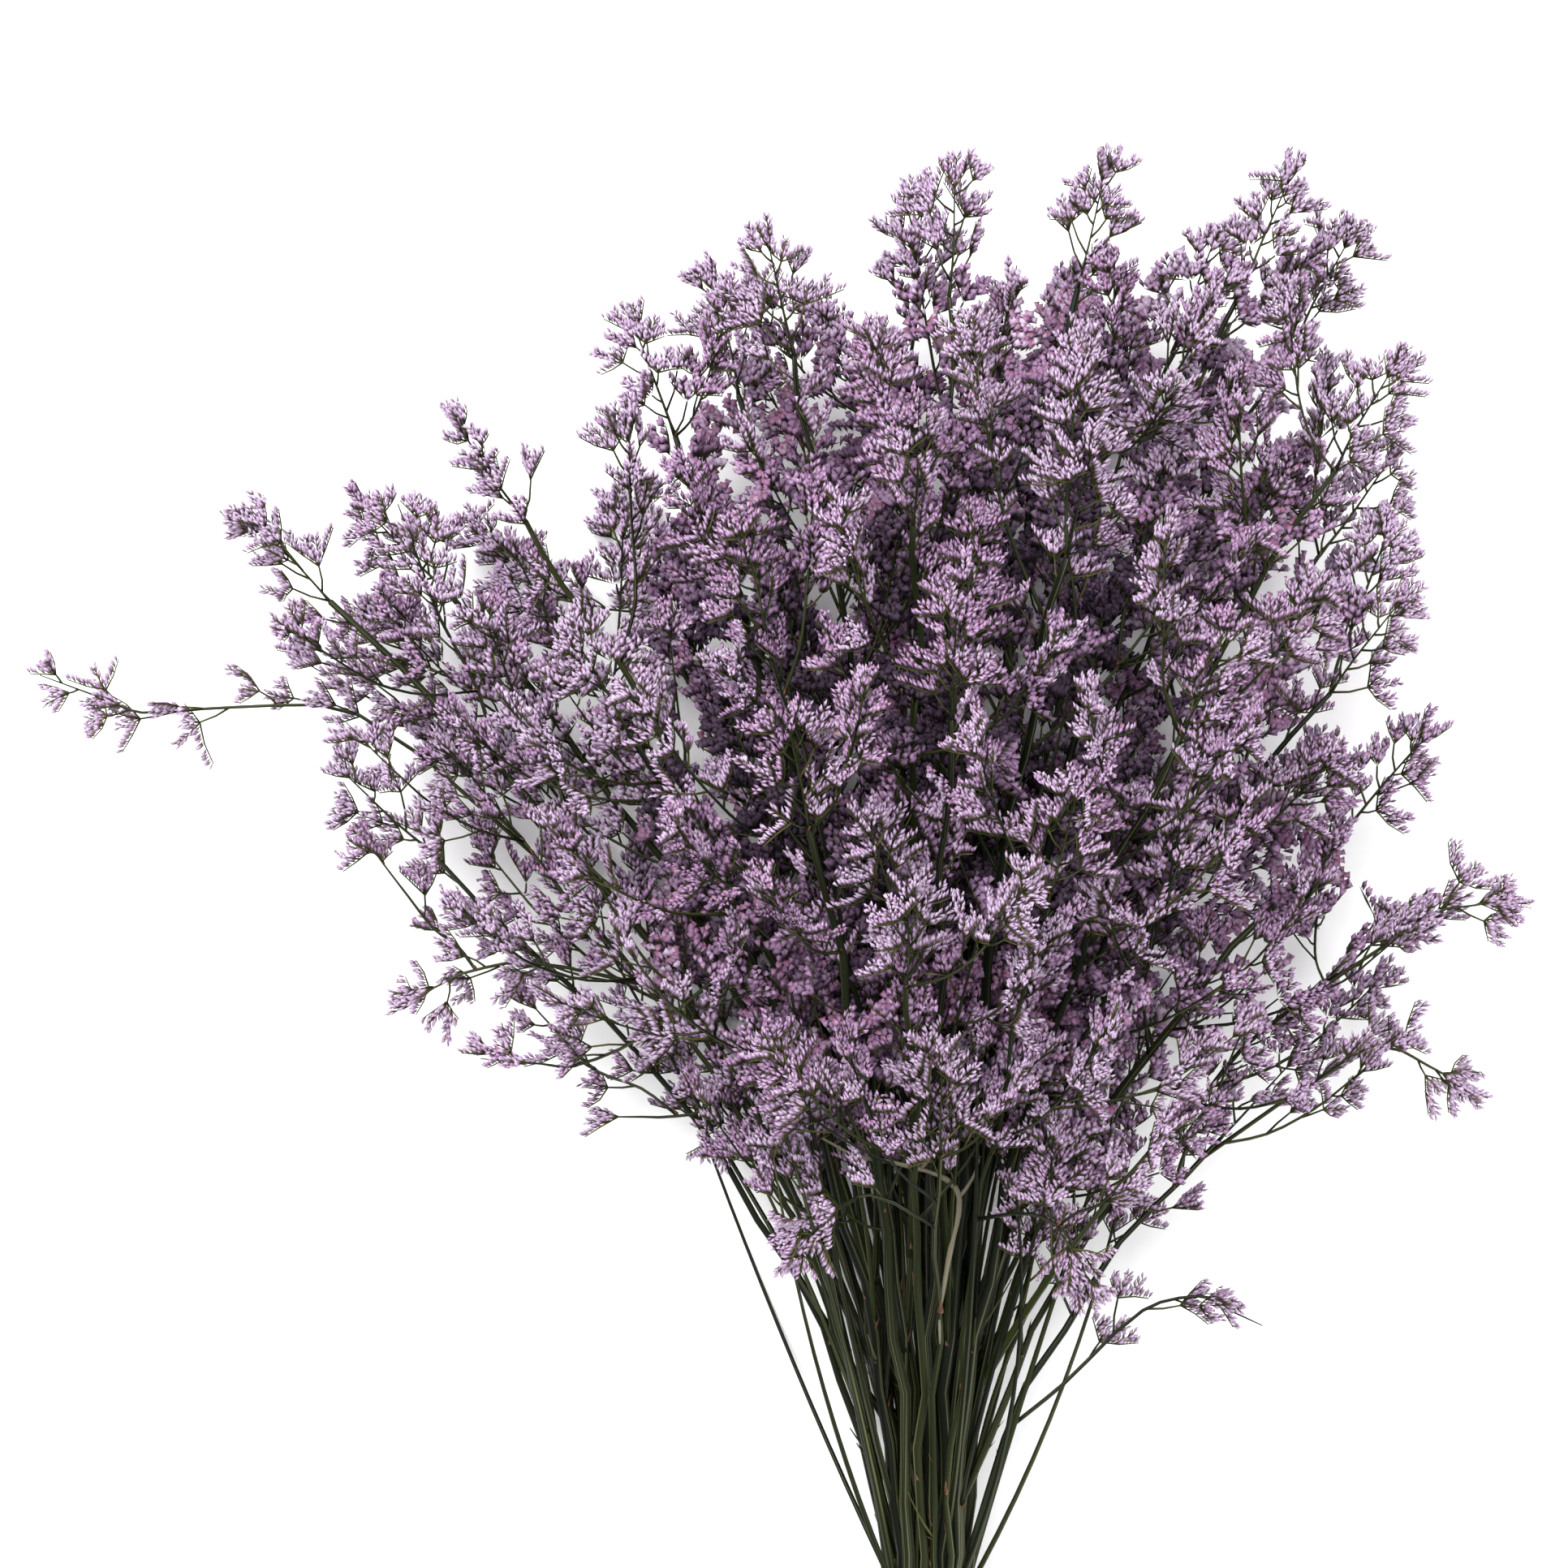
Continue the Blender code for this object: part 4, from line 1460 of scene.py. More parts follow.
@dataclass(frozen=True)
class NeckHabit:
    """The branches that fork off low on a stem, in millimetres and degrees."""

    count: tuple[int, int] = (2, 5)
    lowest: float = 24.0
    highest: float = 0.42
    angle: Range = (8.0, 30.0)
    share: Range = (0.40, 0.66)
    outward: Range = (-0.15, 0.2)
    steps: int = 14
    look_ahead: float = 0.3
    cluster_start: float = 0.5
    cluster_stretch: float = 0.48
    radius: float = 2.0
    radius_spread: Range = (0.6, 1.15)
    tip_radius: float = 0.55
    collar: float = 1.3
    bract_length: Range = (5.0, 9.0)
    bract_width: float = 2.8
    tones: Range = (0.08, 0.42)
    freshness: Range = (0.3, 0.8)
    head_depth: float = 8.0
    bare_count: tuple[int, int] = (0, 3)
    bare_from: float = 52.0
    bare_to: float = 0.5
    bare_angle: Range = (12.0, 38.0)
    bare_length: Range = (9.0, 30.0)
    bare_radii: Range = (0.7, 0.2)
    bare_tones: Range = (0.24, 0.66)
    bare_bend: float = 0.5
    bare_bract: Range = (3.0, 6.0)
    scale_count: int = 3
    scale_from: float = 50.0
    scale_to: float = 0.6
    scale_length: Range = (4.0, 8.0)
    woody_height: float = 160.0
    woody: tuple = ((0, -8, -1.5), (0, 4, 1.5), (3, 24, 4), (7, 47, 8), (2, 55, 10), (-16, 61, 11), (-32, 64, 9),
                    (-44, 70, 8))
    woody_radii: tuple = ((0, 0.5), (0.15, 0.9), (0.3, 1.2), (0.5, 1.35), (1, 0.6))
    woody_knots: float = 0.26
    woody_waves: Range = (37.0, 13.0)
    woody_twist: float = 2.4
    woody_tone: float = 0.70
    spurs: tuple[Range, Range] = ((3 / 6, 18.0), (4 / 6, 21.0))
    spur_radii: Range = (0.9, 0.3)
    spur_leaving: tuple[float, float, float] = (0.9, 1.0, 0.2)
    spur_ending: tuple[float, float, float] = (0.2, 1.0, 0.1)


@dataclass
class SprayPiece:
    """One spray in full: its ribbed stem, its side branches, and every comb with its florets."""

    number: int
    stem: Stem
    twigs: dict[int, Twig]
    forms: Forms
    growth: Growth
    canopy: Canopy
    foremost: bool
    stem_habit: StemHabit = field(default_factory=StemHabit)
    twig_habit: TwigHabit = field(default_factory=TwigHabit)
    comb_habit: CombHabit = field(default_factory=CombHabit)
    fan_habit: FanHabit = field(default_factory=FanHabit)
    cluster_habit: ClusterHabit = field(default_factory=ClusterHabit)
    neck_habit: NeckHabit = field(default_factory=NeckHabit)
    branches: Heap = field(default_factory=Heap)
    florets: Heap = field(default_factory=Heap)
    paths: dict[int, Path] = field(default_factory=dict)
    laid: dict[FloretKind, list] = field(default_factory=lambda: {kind: [] for kind in FloretKind})
    comb_count: int = 0
    rng: np.random.Generator = field(init=False)

    def __post_init__(self) -> None:
        """Set up the spray's own random draws."""
        self.rng = np.random.default_rng((self.stem.habit.seed, self.number))

    def grow(self) -> None:
        """Lay the stem and everything on it, and copy the florets."""
        self.lay_stem()
        for index, twig in self.twigs.items():
            self.lay_twig(index, twig)
        self.lay_stem_clusters()
        self.lay_low_branches()
        self.lay_bare_twigs()
        if self.foremost:
            self.lay_woody_branch()
        for kind, rows in self.laid.items():
            roots, axes, tones = (np.concatenate(column) for column in zip(*rows))
            self.florets.copy(self.forms.florets[kind], roots, axes, tones, width=0.03)

    def lay_stem(self) -> None:
        """Run the ribbed outline along the main stem, with its cut end showing its pith."""
        habit, rng = self.stem_habit, self.rng
        path = smooth_path(list(self.stem.line), 4)
        heights = path.points[:, 1]
        amount = habit.wave * climb(heights, *habit.wave_rise)
        for axis in (0, 2):
            for length in habit.wave_lengths:
                phase = rng.uniform(0, 2 * math.pi)
                path.points[:, axis] += amount * np.sin(2 * math.pi * heights / length + phase)
        path = self.paths[STEM] = Path(path.points)
        slim = np.clip(heights / self.stem.top, 0, 1)
        knobs = 1 + habit.knob * np.sin(heights / habit.knob_length + self.number)
        swell = 1 + rng.uniform(*habit.swell) * climb(heights, *habit.swell_rise) * (1 - slim)
        girth = 1 + rng.uniform(*habit.girth) * climb(heights, *habit.girth_rise)
        radii = (self.stem.habit.stem_radius - habit.taper * slim) * knobs * swell * girth
        outline = self.forms.ribbed * rng.uniform(habit.flattest, habit.fullest)
        self.branches.sweep(path, radii, outline, UPWARD, rng.uniform(*habit.tones), width=0.06,
                            twist=rng.uniform(*habit.twist), cut_tone=habit.pith_tone)

    def lay_twig(self, index: int, twig: Twig) -> None:
        """Lay a side branch and the fan of combs at its end.

        Args:
            index: Its number in the bunch, which is the spray's own number for the leader.
            twig: The side branch.
        """
        habit, rng = self.twig_habit, self.rng
        parent = self.paths[twig.parent]
        leader = index == self.number
        share = 1.0 if leader else parent.nearest(twig.stalk[0])
        root, heading = parent.spot(share)
        if leader:
            points = [parent.points[-1], *twig.comb[1:]]
        else:
            middles = twig.stalk[1:-1]
            if not middles:
                reach = twig.comb[0] - root
                along = unit(reach)
                bow = square_to(along - habit.bow_lean * heading, along) * np.linalg.norm(reach) * habit.bow
                middles = [(root + twig.comb[0]) / 2 + bow]
            points = [root, *middles, *twig.comb]
        path = self.paths[index] = smooth_path(points, 3)
        comb_start = 0.0 if leader else path.nearest(twig.comb[0])
        thick = habit.leader_radius if leader else habit.stalk_radius * (
            1.0 if twig.parent == STEM else habit.second_radius)
        radii = np.interp(path.shares, (0, comb_start + 1e-3, 1),
                          (thick, habit.fan_radius, self.comb_habit.tip_radius))
        self.branches.sweep(path, radii, self.forms.square, twig.facing, rng.uniform(*habit.tones))
        if not leader:
            self.lay_bract(path, 0.0, twig.facing, rng.uniform(*habit.bract_length), habit.bract_width)
        freshness = rng.uniform(*habit.freshness)
        self.lay_fan(path, comb_start, twig.facing, freshness, habit.leader_reach if leader else 1.0)
        stalk = path.length * comb_start * habit.stalk_fullness
        count = round(stalk / self.fan_habit.stem_spacing * self.reach_at(twig.comb[0]))
        start, stretch = habit.stalk_stretch
        for step in range(count):
            place = comb_start * (start + stretch * (step + rng.uniform(0.1, 0.9)) / count)
            self.lay_stem_cluster(path, place, freshness, -math.inf)

    def lay_fan(self, path: Path, start: float, facing: Point, freshness: float, reach: float) -> None:
        """Lay clusters of combs to both sides of a branchlet, and a last cluster at its end.

        Args:
            path: The branchlet's line, with its stalk.
            start: The share of the line where the fan starts.
            facing: The direction that the fan faces.
            freshness: Middle place of its florets across the colour map.
            reach: Length of the stalks, where one is the usual length.
        """
        habit, rng = self.fan_habit, self.rng
        count = max(int(path.length * (1 - start) / habit.spacing), habit.fewest)
        roll = math.radians(rng.uniform(-habit.roll, habit.roll))
        first = rng.integers(2)
        for step in range(count):
            done = (step + rng.uniform(0.0, 0.7)) / count
            root, heading = path.spot(start + (1 - start) * habit.end * done)
            if rng.random() > self.fullness(root):
                continue
            normal = turned(square_to(facing, heading), heading, roll)
            side = turned(np.cross(normal, heading), heading, math.radians(rng.uniform(-habit.lift, habit.lift)))
            side = side * (1 if (step + first) % 2 else -1)
            angle = math.radians(rng.uniform(*habit.angle))
            leaving = heading * math.cos(angle) + side * math.sin(angle)
            longest, shortening = habit.stalk_taper
            stalk = rng.uniform(*habit.stalk) * (longest - shortening * done) * max(reach, self.reach_at(root))
            largest, shrinking = habit.size_taper
            self.lay_cluster(root, leaving, heading, normal, stalk, largest - shrinking * done, freshness)
        end, heading = path.spot(habit.end)[0], path.spot(habit.end_heading)[1]
        normal = turned(square_to(facing, heading), heading, roll)
        self.lay_cluster(end, heading, heading, normal, 1.0, habit.end_size, freshness, habit.end_breadth)

    def reach_at(self, root: Point) -> float:
        """Length of the stalks at a place, where one is the usual length.

        Args:
            root: The place.

        Returns:
            The length.
        """
        wide = any(left < root[0] < right and low < root[1] < high
                   for left, right, low, high in self.fan_habit.wide_places)
        return self.fan_habit.wide_reach if wide else 1.0

    def fullness(self, root: Point) -> float:
        """Share of the clusters that grow at a place: fewer deep inside, low at the sides and in the wing.

        Args:
            root: The place.

        Returns:
            The share.
        """
        habit = self.fan_habit
        if root[1] > habit.crown_height or root[0] > habit.right_side and root[1] > habit.low_height:
            return 1.0
        if self.canopy.cover(root)[1] > habit.sparse_depth:
            return habit.inner_share
        if root[1] < habit.low_height and abs(root[0]) > habit.low_side:
            return habit.low_share
        return habit.wing_share if root[0] < habit.wing_side else 1.0

    def lay_cluster(self, root: Point, leaving: Point, growth: Point, normal: Point, stalk: float, size: float,
                    freshness: float, breadth: float = 1.0) -> None:
        """Lay a short stalk that splits into a flat-topped fan of combs, with the florets on their upper side.

        Args:
            root: Where the stalk starts.
            leaving: The direction in which it leaves.
            growth: The direction in which the branchlet grows, towards which all of it bends.
            normal: The direction that the cluster faces.
            stalk: Length of the stalk.
            size: Size of the combs, where one is a full one.
            freshness: Middle place of the florets across the colour map.
            breadth: How widely the combs spread, where one is the usual flat-topped fan.
        """
        habit, rng = self.cluster_habit, self.rng
        ending = unit(unit(leaving + rng.uniform(*habit.bend) * growth) * (1, 1, habit.flatness))
        path = arc(root, leaving, ending, stalk, 3)
        if stalk > habit.bare_stalk:
            self.branches.sweep(path, np.linspace(*habit.stalk_radii, 3), self.forms.slim, normal,
                                rng.uniform(*habit.stalk_tones), width=0.04)
        fork = path.points[-1]
        count = rng.integers(*habit.combs)
        splay = math.radians(rng.uniform(*habit.splay)) * breadth
        normal = square_to(normal + habit.normal_stray * rng.normal(size=3), ending)
        across = np.cross(normal, ending)
        tone, cover = self.tone_and_cover(fork, freshness)
        for place in np.linspace(-1, 1, count) + rng.uniform(-habit.place_stray, habit.place_stray, count):
            outer = min(abs(place), 1.0)
            tilt = math.radians(rng.uniform(-habit.tilt, habit.tilt))
            way = turned(turned(ending, normal, place * splay), across, tilt)
            bent = unit(way + rng.uniform(*habit.comb_bend) * ending + habit.comb_stray * rng.normal(size=3))
            shortened = 1 - habit.middle_shortening * breadth ** 2 * (1 - outer)
            length = rng.uniform(*habit.comb) * size * shortened
            comb = arc(fork, way, bent, length, 3)
            self.lay_comb(comb, ending, normal, outer, tone, cover)
            if outer > habit.side_from and rng.random() < habit.side_comb:
                start = comb.spot(rng.uniform(*habit.side_place))[0]
                inward = unit(habit.side_inward * way + ending + habit.comb_stray * rng.normal(size=3))
                side = arc(start, inward, unit(inward + habit.side_bend * ending),
                           length * rng.uniform(*habit.side_length), 3)
                self.lay_comb(side, ending, normal, habit.side_outer, tone, cover)

    def tone_and_cover(self, fork: Point, freshness: float) -> tuple[float, float]:
        """How fresh a cluster's florets are, with painted shade where they lie deep in the head and painted light
        near its rim, and how deep they lie.

        Args:
            fork: Where the cluster splits into its combs.
            freshness: Middle place of the florets of the whole branch across the colour map.

        Returns:
            Their place across the colour map, and how much of the head lies above them.
        """
        combs, habit = self.comb_habit, self.cluster_habit
        rim = max(self.growth.depth_in_head(fork[0], fork[1]), 0.0)
        rim *= habit.wing_rim if fork[0] < self.fan_habit.wing_side else 1.0
        cover, inside = self.canopy.cover(fork)
        cover, inside = min(cover, rim), min(inside, habit.inside_share * rim)
        # painted shade: the deeper a cluster lies inside the head, the duller and darker its florets
        painted_depth_dulling = combs.deep_painted_shade * float(np.interp(inside, combs.painted_shade_depths, (0.0, 1.0)))
        # painted light: near the outline the florets are lifted, and kept above the painted shade
        least, lift = (float(np.interp(rim, combs.rim_painted_light_depths, ends)) for ends in combs.rim_painted_light_tones)
        tone = (freshness + lift + self.rng.normal() * habit.tone_spread) * (1 - painted_depth_dulling)
        return float(np.clip(tone, least, habit.highest_tone)), cover

    def lay_comb(self, path: Path, growth: Point, normal: Point, outer: float, freshness: float,
                 cover: float) -> None:
        """Lay one comb: its thin rachis, and its two ranks of florets.

        Args:
            path: The rachis.
            growth: The direction in which the cluster grows, to which the florets of the outer combs turn.
            normal: The direction that the cluster faces.
            outer: How far out in the cluster the comb lies, from zero in the middle to one.
            freshness: Middle place of the florets across the colour map, with the cluster's painted shade and painted
                light already in it.
            cover: How much of the head lies above, which decides how plain the comb may be.
        """
        habit, rng = self.comb_habit, self.rng
        heading = unit(path.points[-1] - path.points[0])
        outermost, more = habit.facing_outward
        towards = outer * growth + (outermost + more * (1 - outer)) * normal
        facing = square_to(towards + habit.facing_stray * rng.normal(size=3), heading)
        spread = habit.rank_angle + (habit.flat_rank_angle - habit.rank_angle) * (1 - outer)
        tone = rng.uniform(*habit.rachis_tones)
        if cover > habit.inner_cover:
            axes = np.stack((np.cross(facing, heading), facing, heading * path.length))[None]
            bud = self.forms.florets[FloretKind.BUD]
            self.branches.copy(bud, path.points[:1], axes, np.array([tone]), width=0.04)
        else:
            radii = np.linspace(habit.root_radius, habit.tip_radius, len(path.points))
            self.branches.sweep(path, radii, self.forms.slim, facing, tone, width=0.04)
        tone = float(np.clip(freshness * (1 + rng.normal() * habit.comb_tone_spread), *habit.comb_tones))
        self.lay_florets(path, facing, growth, spread, tone, cover)
        self.comb_count += 1

    def lay_florets(self, path: Path, facing: Point, growth: Point, spread: float, freshness: float,
                    cover: float) -> None:
        """Lay the florets of one comb in two ranks, upright in its cluster.

        Args:
            path: The rachis.
            facing: The side that the comb faces.
            growth: The direction in which the cluster grows.
            spread: Angle between that side and each rank, in degrees.
            freshness: Middle place of the florets across the colour map, with the cluster's painted shade and painted
                light already in it.
            cover: How far below the top of the head they lie, past which they are made plainer.
        """
        habit, rng = self.comb_habit, self.rng
        plain = float(np.interp(cover, (habit.inner_cover, habit.deep_cover), habit.plain_spacing))
        count = max(int(path.length / (habit.spacing * plain)), habit.fewest)
        shares = habit.bare + (1 - habit.bare) * (np.arange(count) + rng.uniform(0.1, 0.9, count)) / count
        headings = path.headings(shares)
        tops = units(facing - (headings @ facing)[:, None] * headings)
        sides = np.cross(tops, headings)
        ranks = np.where(np.arange(count) % 2, 1.0, -1.0)
        lean = np.radians(spread + rng.normal(size=count) * habit.wander) * ranks
        tilt = np.radians(habit.tilt + rng.normal(size=count) * habit.wander)
        across = tops * np.cos(lean)[:, None] + sides * np.sin(lean)[:, None]
        ways = headings * np.cos(tilt)[:, None] + across * np.sin(tilt)[:, None]
        ways = units(ways + habit.upright * growth + rng.normal(size=(count, 3)) * habit.stray)
        at_tip = climb(shares, habit.tip_start, 1 - habit.tip_start)
        slim = 1 - habit.tip_slimming * at_tip ** 2
        lengths = rng.uniform(*habit.floret_length, count) * slim * (1 + habit.plain_length * (plain - 1))
        widths = rng.uniform(*habit.width_spread, count) * slim * (1 + habit.plain_width * (plain - 1))
        widths = widths * habit.floret_width
        uppers = units(np.cross(np.cross(ways, headings + 0.01), ways))
        axes = np.stack((np.cross(uppers, ways) * widths[:, None], uppers * widths[:, None],
                         ways * lengths[:, None]), 1)
        roots = path.at(shares) + across * habit.root_offset
        fading = habit.tip_fading * (slim < 1 - habit.tip_slimming / 2)
        tones = freshness * (1 + rng.normal(size=count) * habit.tone_spread) - fading
        tones = np.clip(tones, *habit.floret_tones)
        kinds = np.where(rng.random(count) < habit.open_share, FloretKind.OPEN, FloretKind.BUD)
        if cover > habit.deep_cover:
            kinds[:] = FloretKind.DEEP
        for kind in FloretKind:
            chosen = kinds == kind
            self.laid[kind].append((roots[chosen], axes[chosen], tones[chosen]))

    def lay_stem_clusters(self) -> None:
        """Lay clusters round the upper part of the main stem."""
        path, habit = self.paths[STEM], self.fan_habit
        freshness = self.rng.uniform(*habit.stem_freshness)
        start = self.share_at(self.stem.top * habit.stem_start)
        count = int(path.length * (1 - start) / habit.stem_spacing)
        for step in range(count):
            share = start + (1 - start) * (step + self.rng.uniform(0.1, 0.9)) / count
            self.lay_stem_cluster(path, share, freshness)

    def share_at(self, height: float) -> float:
        """Share of the stem's length that lies at a height above the tie."""
        return self.paths[STEM].nearest(self.stem.at(height)[0])

    def lay_stem_cluster(self, path: Path, share: float, freshness: float, depth: float = 3.0) -> None:
        """Lay one cluster that grows straight from a stem or a stalk, to a side at random.

        Args:
            path: The stem or stalk.
            share: Where on it the cluster starts.
            freshness: Middle place of its florets across the colour map.
            depth: How deep inside the head it must start.
        """
        habit = self.fan_habit
        root, heading = path.spot(share)
        if self.growth.depth_in_head(root[0], root[1]) < depth:
            return
        leaving = self.leave(heading, habit.stem_angle, UPWARD + 0.01)[0]
        normal = square_to(UPWARD + habit.stem_stray * self.rng.normal(size=3), heading)
        self.lay_cluster(root, leaving, heading, normal, self.rng.uniform(*habit.stem_stalk), 1.0, freshness)

    def leave(self, heading: Point, angles: Range, up: Point = UPWARD) -> tuple[Point, Point]:
        """Leave a stem to a side at random.

        Args:
            heading: The stem's direction.
            angles: Least and greatest angle from it, in degrees.
            up: The direction from which the sides are counted.

        Returns:
            The direction in which it leaves, and the side.
        """
        side = turned(square_to(up, heading), heading, self.rng.uniform(0, 2 * math.pi))
        angle = math.radians(self.rng.uniform(*angles))
        return heading * math.cos(angle) + side * math.sin(angle), side

    def lay_low_branches(self) -> None:
        """Lay the branches that fork off low on the stem and rise beside it into the head."""
        habit, rng, path = self.neck_habit, self.rng, self.paths[STEM]
        for _ in range(rng.integers(*habit.count)):
            height = rng.uniform(habit.lowest, habit.highest * self.stem.top)
            share = self.share_at(height)
            root, heading = path.spot(share)
            leaving, side = self.leave(heading, habit.angle)
            onward = path.spot(min(share + habit.look_ahead, 0.95))[1]
            length = (self.stem.top - height) * rng.uniform(*habit.share)
            branch = arc(root, leaving, unit(onward + rng.uniform(*habit.outward) * side), length, habit.steps)
            if self.growth.depth_in_head(*branch.points[-1][:2]) < habit.head_depth:
                continue
            radii = np.linspace(habit.radius * rng.uniform(*habit.radius_spread), habit.tip_radius, habit.steps)
            radii[0] *= habit.collar
            self.branches.sweep(branch, radii, self.forms.angular, side, rng.uniform(*habit.tones), width=0.06)
            self.lay_bract(branch, 0.0, side, rng.uniform(*habit.bract_length), habit.bract_width)
            freshness = rng.uniform(*habit.freshness)
            count = max(int(length * (1 - habit.cluster_start) / self.fan_habit.stem_spacing), 1)
            for step in range(count):
                place = habit.cluster_start + habit.cluster_stretch * (step + rng.uniform(0, 1)) / count
                self.lay_stem_cluster(branch, place, freshness)
            self.lay_stem_cluster(branch, 1.0, freshness)

    def lay_woody_branch(self) -> None:
        """Lay the one old grey branch that stands out before the neck and bends aside."""
        habit = self.neck_habit
        root = self.paths[STEM].spot(self.share_at(habit.woody_height))[0]
        branch = smooth_path([root + np.array(step, float) for step in habit.woody], 5)
        fine, coarse = (np.sin(branch.shares * waves) for waves in habit.woody_waves)
        knots = 1 + habit.woody_knots * fine * coarse
        radii = np.interp(branch.shares, *zip(*habit.woody_radii)) * knots
        self.branches.sweep(branch, radii, self.forms.angular, UPWARD, habit.woody_tone, width=0.04,
                            twist=habit.woody_twist)
        self.lay_bract(branch, 0.1, UPWARD, 8.0, 2.6)
        leaving, ending = unit(np.array(habit.spur_leaving)), unit(np.array(habit.spur_ending))
        for share, length in habit.spurs:
            spur = arc(branch.spot(share)[0], leaving, ending, length, 5)
            self.branches.sweep(spur, np.linspace(*habit.spur_radii, 5), self.forms.square, UPWARD, habit.woody_tone,
                                width=0.03)
            self.lay_stem_cluster(spur, 0.95, 0.6)

    def lay_bare_twigs(self) -> None:
        """Lay a few thin bare twigs and node scales low on the stem."""
        habit, rng, path = self.neck_habit, self.rng, self.paths[STEM]
        for _ in range(rng.integers(*habit.bare_count)):
            share = self.share_at(rng.uniform(habit.bare_from, habit.bare_to * self.stem.top))
            root, heading = path.spot(share)
            leaving, side = self.leave(heading, habit.bare_angle)
            twig = arc(root, leaving, unit(leaving + habit.bare_bend * heading), rng.uniform(*habit.bare_length), 7)
            self.branches.sweep(twig, np.linspace(*habit.bare_radii, 7), self.forms.square, side,
                                rng.uniform(*habit.bare_tones))
            self.lay_bract(twig, 0.0, side, rng.uniform(*habit.bare_bract), 2.0)
        for _ in range(habit.scale_count):
            share = self.share_at(rng.uniform(habit.scale_from, habit.scale_to * self.stem.top))
            heading = path.spot(share)[1]
            side = turned(square_to(UPWARD, heading), heading, rng.uniform(0, 2 * math.pi))
            self.lay_bract(path, share, side, rng.uniform(*habit.scale_length), 2.2)

    def lay_bract(self, path: Path, share: float, facing: Point, length: float, width: float) -> None:
        """Lay one brown scale that hugs a branch where it starts.

        Args:
            path: The branch.
            share: Where on it the scale grows.
            facing: The side that it grows on.
            length: Its length.
            width: Its width.
        """
        habit = self.twig_habit
        root, heading = path.spot(share)
        out = square_to(facing + 0.01, heading)
        way = unit(heading + habit.bract_lean * out)
        up = square_to(out, way)
        axes = np.stack((np.cross(up, way) * width, up * width, way * length))[None]
        tones = np.array([self.rng.uniform(*habit.bract_tones)])
        self.branches.copy(self.forms.bract, (root + habit.bract_offset * out)[None], axes, tones, width=0.03)


@dataclass
class TiePiece:
    """The tie: three turns of twisted twine round the stems, a small knot on top and two short ends."""

    habit: Habit
    forms: Forms
    turns: int = 3
    width: float = 8.0
    twine_radius: float = 1.25
    clearance: float = 2.35
    pressed: float = 0.8
    knot_radius: float = 2.5
    knot_turns: float = 2.5
    knot_length: float = 5.2
    knot_flatness: float = 0.72
    knot_lift: float = 0.6
    end: tuple = ((1.5, 0.6, 1.2), (6, -1.5, 2.4), (11, -4.5, 2.0), (17, -9, 0.0), (20.5, -15, -2.6),
                  (21.5, -17.5, -3.6))
    end_radius: float = 0.95
    strand: float = 0.75
    loop_steps: int = 120
    twist_length: float = 7.0
    heap: Heap = field(default_factory=Heap)

    def loop(self) -> Path:
        """One turn round the rows of stems, as a closed line.

        Returns:
            The line.
        """
        middle = len(self.habit.rows) // 2
        corners = [self.habit.pitch * np.array((way * (self.habit.rows[row] - 1) / 2, 0.0, row - middle))
                   for row in (0, middle, -1) for way in (-1, 1)]
        corners[4:] = [corner * (1, 1, 0) + (0, 0, self.habit.pitch * middle) for corner in corners[4:]]
        points = []
        for angle in np.linspace(0.5 * math.pi, 2.5 * math.pi, 2 * self.loop_steps):
            way = np.array((math.cos(angle), 0.0, math.sin(angle)))
            middle_point = max(corners, key=lambda corner: corner @ way)
            points.append(middle_point + way * (self.clearance + self.twine_radius))
        path = Path(np.array(points) + self.habit.tie_height * UPWARD)
        return Path(path.at(np.linspace(0, 1, self.loop_steps)))

    def twine(self, points: np.ndarray, radius: float) -> None:
        """Run three twisted strands along points.

        Args:
            points: The points, in rows.
            radius: Radius of the twine.
        """
        path = Path(points)
        fine = Path(path.at(np.linspace(0, 1, max(int(path.length / self.strand), 8))))
        radii = np.full(len(fine.points), radius)
        radii[[0, -1]] *= self.pressed
        headings = units(np.gradient(fine.points, axis=0))
        facing = unit(np.cross(headings[0], headings[len(headings) // 3]) + 0.001)
        self.heap.sweep(fine, radii, self.forms.angular, facing, 0.5, width=0.8,
                        twist=2 * math.pi * fine.length / self.twist_length)

    def build(self) -> None:
        """Lay the turns, the knot and the ends."""
        loop = self.loop()
        shares = np.linspace(0, self.turns, self.loop_steps * self.turns)
        turns = loop.at(shares % 1.0)
        pitch = self.width / self.turns
        turns[:, 1] = (shares / self.turns - 0.5) * (self.width - pitch)
        self.twine(turns, self.twine_radius)
        top = float(turns[:, 2].max()) + self.twine_radius
        middle = np.array((0.0, 0.0, top + self.knot_lift))
        coil = np.linspace(0, 1, 60)
        angle = coil * 2 * math.pi * self.knot_turns
        knot = np.stack(((coil - 0.5) * self.knot_length, self.knot_radius * np.cos(angle),
                         self.knot_flatness * self.knot_radius * np.sin(angle)), 1)
        self.twine(knot + middle, self.twine_radius)
        for way in (-1, 1):
            end = smooth_path([middle + np.array(point) * (way, 1, 1) for point in self.end], 8)
            self.twine(end.points, self.twine_radius * self.end_radius)


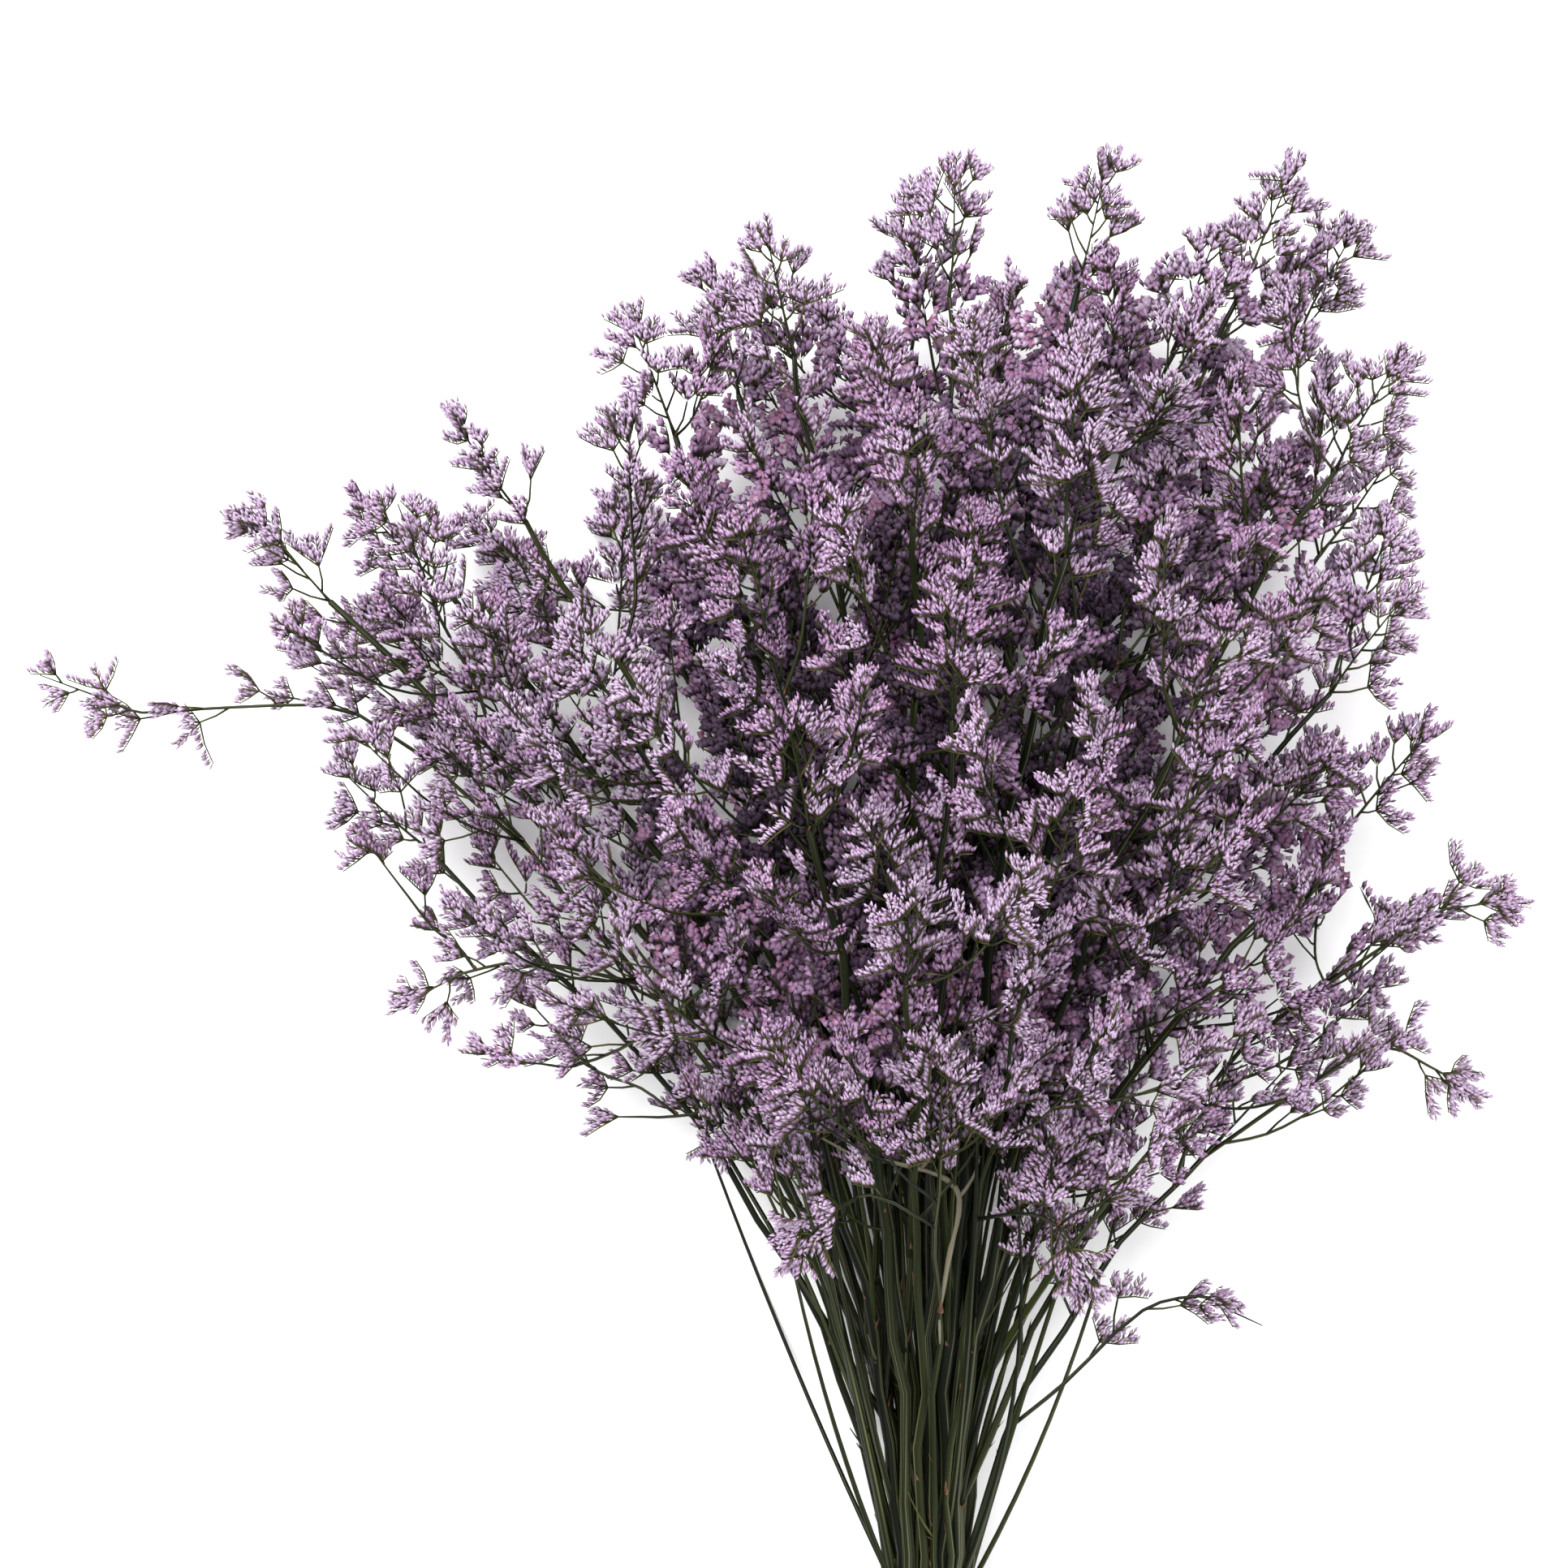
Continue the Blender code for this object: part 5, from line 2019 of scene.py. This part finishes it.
@dataclass(frozen=True)
class Studio:
    """The camera, the floor and the light, in metres."""

    camera_place: tuple[float, float, float] = (0.0019, 0.1245, 1.715)
    lens: float = 100.0
    sensor: float = 36.0
    floor_size: float = 12.0
    floor_colour: tuple = (240, 240, 240)
    world_strength: float = 0.32
    clip: Range = (0.05, 50.0)
    lights: tuple = (("key", (-0.9, 1.1, 2.4), 2.6, 112.0), ("fill", (1.8, -0.6, 1.9), 2.0, 38.0))
    aim: tuple[float, float, float] = (0.0, 0.1, 0.1)

    def build(self) -> None:
        """Set up the whole studio."""
        self.camera()
        self.floor()
        self.world()
        for name, place, size, power in self.lights:
            self.light(name, place, size, power * EXPOSURE)

    def camera(self) -> None:
        """Set the camera above the bunch, looking straight down."""
        bpy.ops.object.camera_add(location=self.camera_place, rotation=(0.0, 0.0, 0.0))
        camera = bpy.context.object
        camera.name = "camera"
        camera.data.lens, camera.data.sensor_width = self.lens, self.sensor
        camera.data.clip_start, camera.data.clip_end = self.clip
        bpy.context.scene.camera = camera

    def floor(self) -> None:
        """Lay a plain pale floor."""
        bpy.ops.mesh.primitive_plane_add(size=self.floor_size, location=(0.0, 0.0, 0.0))
        floor = bpy.context.object
        floor.name = "floor"
        paint = Paint("pale_floor", 0.9)
        paint.surface.inputs["Base Color"].default_value = (*linear(self.floor_colour), 1.0)
        floor.data.materials.append(paint.material)

    def world(self) -> None:
        """Light the surroundings evenly."""
        world = bpy.data.worlds.new("studio")
        world.use_nodes = True
        world.node_tree.nodes["Background"].inputs["Color"].default_value = (1.0, 1.0, 1.0, 1.0)
        world.node_tree.nodes["Background"].inputs["Strength"].default_value = self.world_strength * EXPOSURE
        bpy.context.scene.world = world
        bpy.context.scene.view_settings.view_transform = "Standard"

    def light(self, name: str, place: tuple[float, float, float], size: float, power: float) -> None:
        """Hang one square soft light that points at the bunch.

        Args:
            name: Its name.
            place: Where it hangs.
            size: Its width.
            power: Its power in watts.
        """
        bpy.ops.object.light_add(type="AREA", location=place)
        light = bpy.context.object
        light.name = name
        light.data.size, light.data.energy = size, power
        light.rotation_euler = (Vector(self.aim) - Vector(place)).to_track_quat("-Z", "Y").to_euler()


def settle(heap: Heap, softness: float, ceiling: float) -> None:
    """Press what would reach below the surface softly onto it, and what would rise past the top softly down.

    Args:
        heap: The mesh, in millimetres above the surface.
        softness: How near to a limit points start to give way.
        ceiling: The height that nothing passes.
    """
    for points in heap.points:
        height = points[:, 2]
        low, high = height < softness, height > ceiling - softness
        height[low] = softness * np.exp((height[low] - softness) / softness)
        height[high] = ceiling - softness * np.exp((ceiling - softness - height[high]) / softness)


def main() -> None:
    """Build the bunch piece by piece, and light it."""
    logging.basicConfig(level=logging.INFO, format="%(name)s: %(message)s")
    habit = Habit()
    forms = Forms.model()
    low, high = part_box("tie")
    offset = np.array(((low.x + high.x) / 2, high.y - TiePiece.width / 2 * MM, 0.0))
    floret_paint, stem_paint, twine_paint = FloretFinish().build(), StemFinish().build(), TwineFinish().build()
    growth = Growth(habit)
    stems, twigs = growth.grow()
    canopy = Canopy.over(twigs)
    fronts = [stem.at(NeckHabit.woody_height)[0] for stem in stems]
    foremost = max(range(len(stems)), key=lambda number: fronts[number][2] - 2 * abs(fronts[number][0]))
    faces = 0
    for number, stem in enumerate(stems):
        own = {index: twig for index, twig in enumerate(twigs) if twig.spray == number}
        spray = SprayPiece(number, stem, own, forms, growth, canopy, number == foremost)
        spray.grow()
        node = f"spray_{number + 1:02d}"
        for heap, part, paint in ((spray.branches, "branches", stem_paint),
                                  (spray.florets, "florets", floret_paint)):
            settle(heap, SOFTNESS, CAD_BOX[1].z / MM + HEADROOM)
            piece = heap.make(f"{node}_{part}", offset, paint)
            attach(piece, "root")
            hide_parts(node)
            faces += len(piece.data.polygons)
        log.info("%s: %d combs", node, spray.comb_count)
    tie = TiePiece(habit, forms)
    tie.build()
    piece = tie.heap.make("tie_twine", offset, twine_paint)
    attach(piece, "root")
    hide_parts("tie")
    log.info("tie: %d triangles", len(piece.data.polygons))
    log.info("%d triangles in all", faces + len(piece.data.polygons))
    Studio().build()


if __name__ == "__main__":
    main()
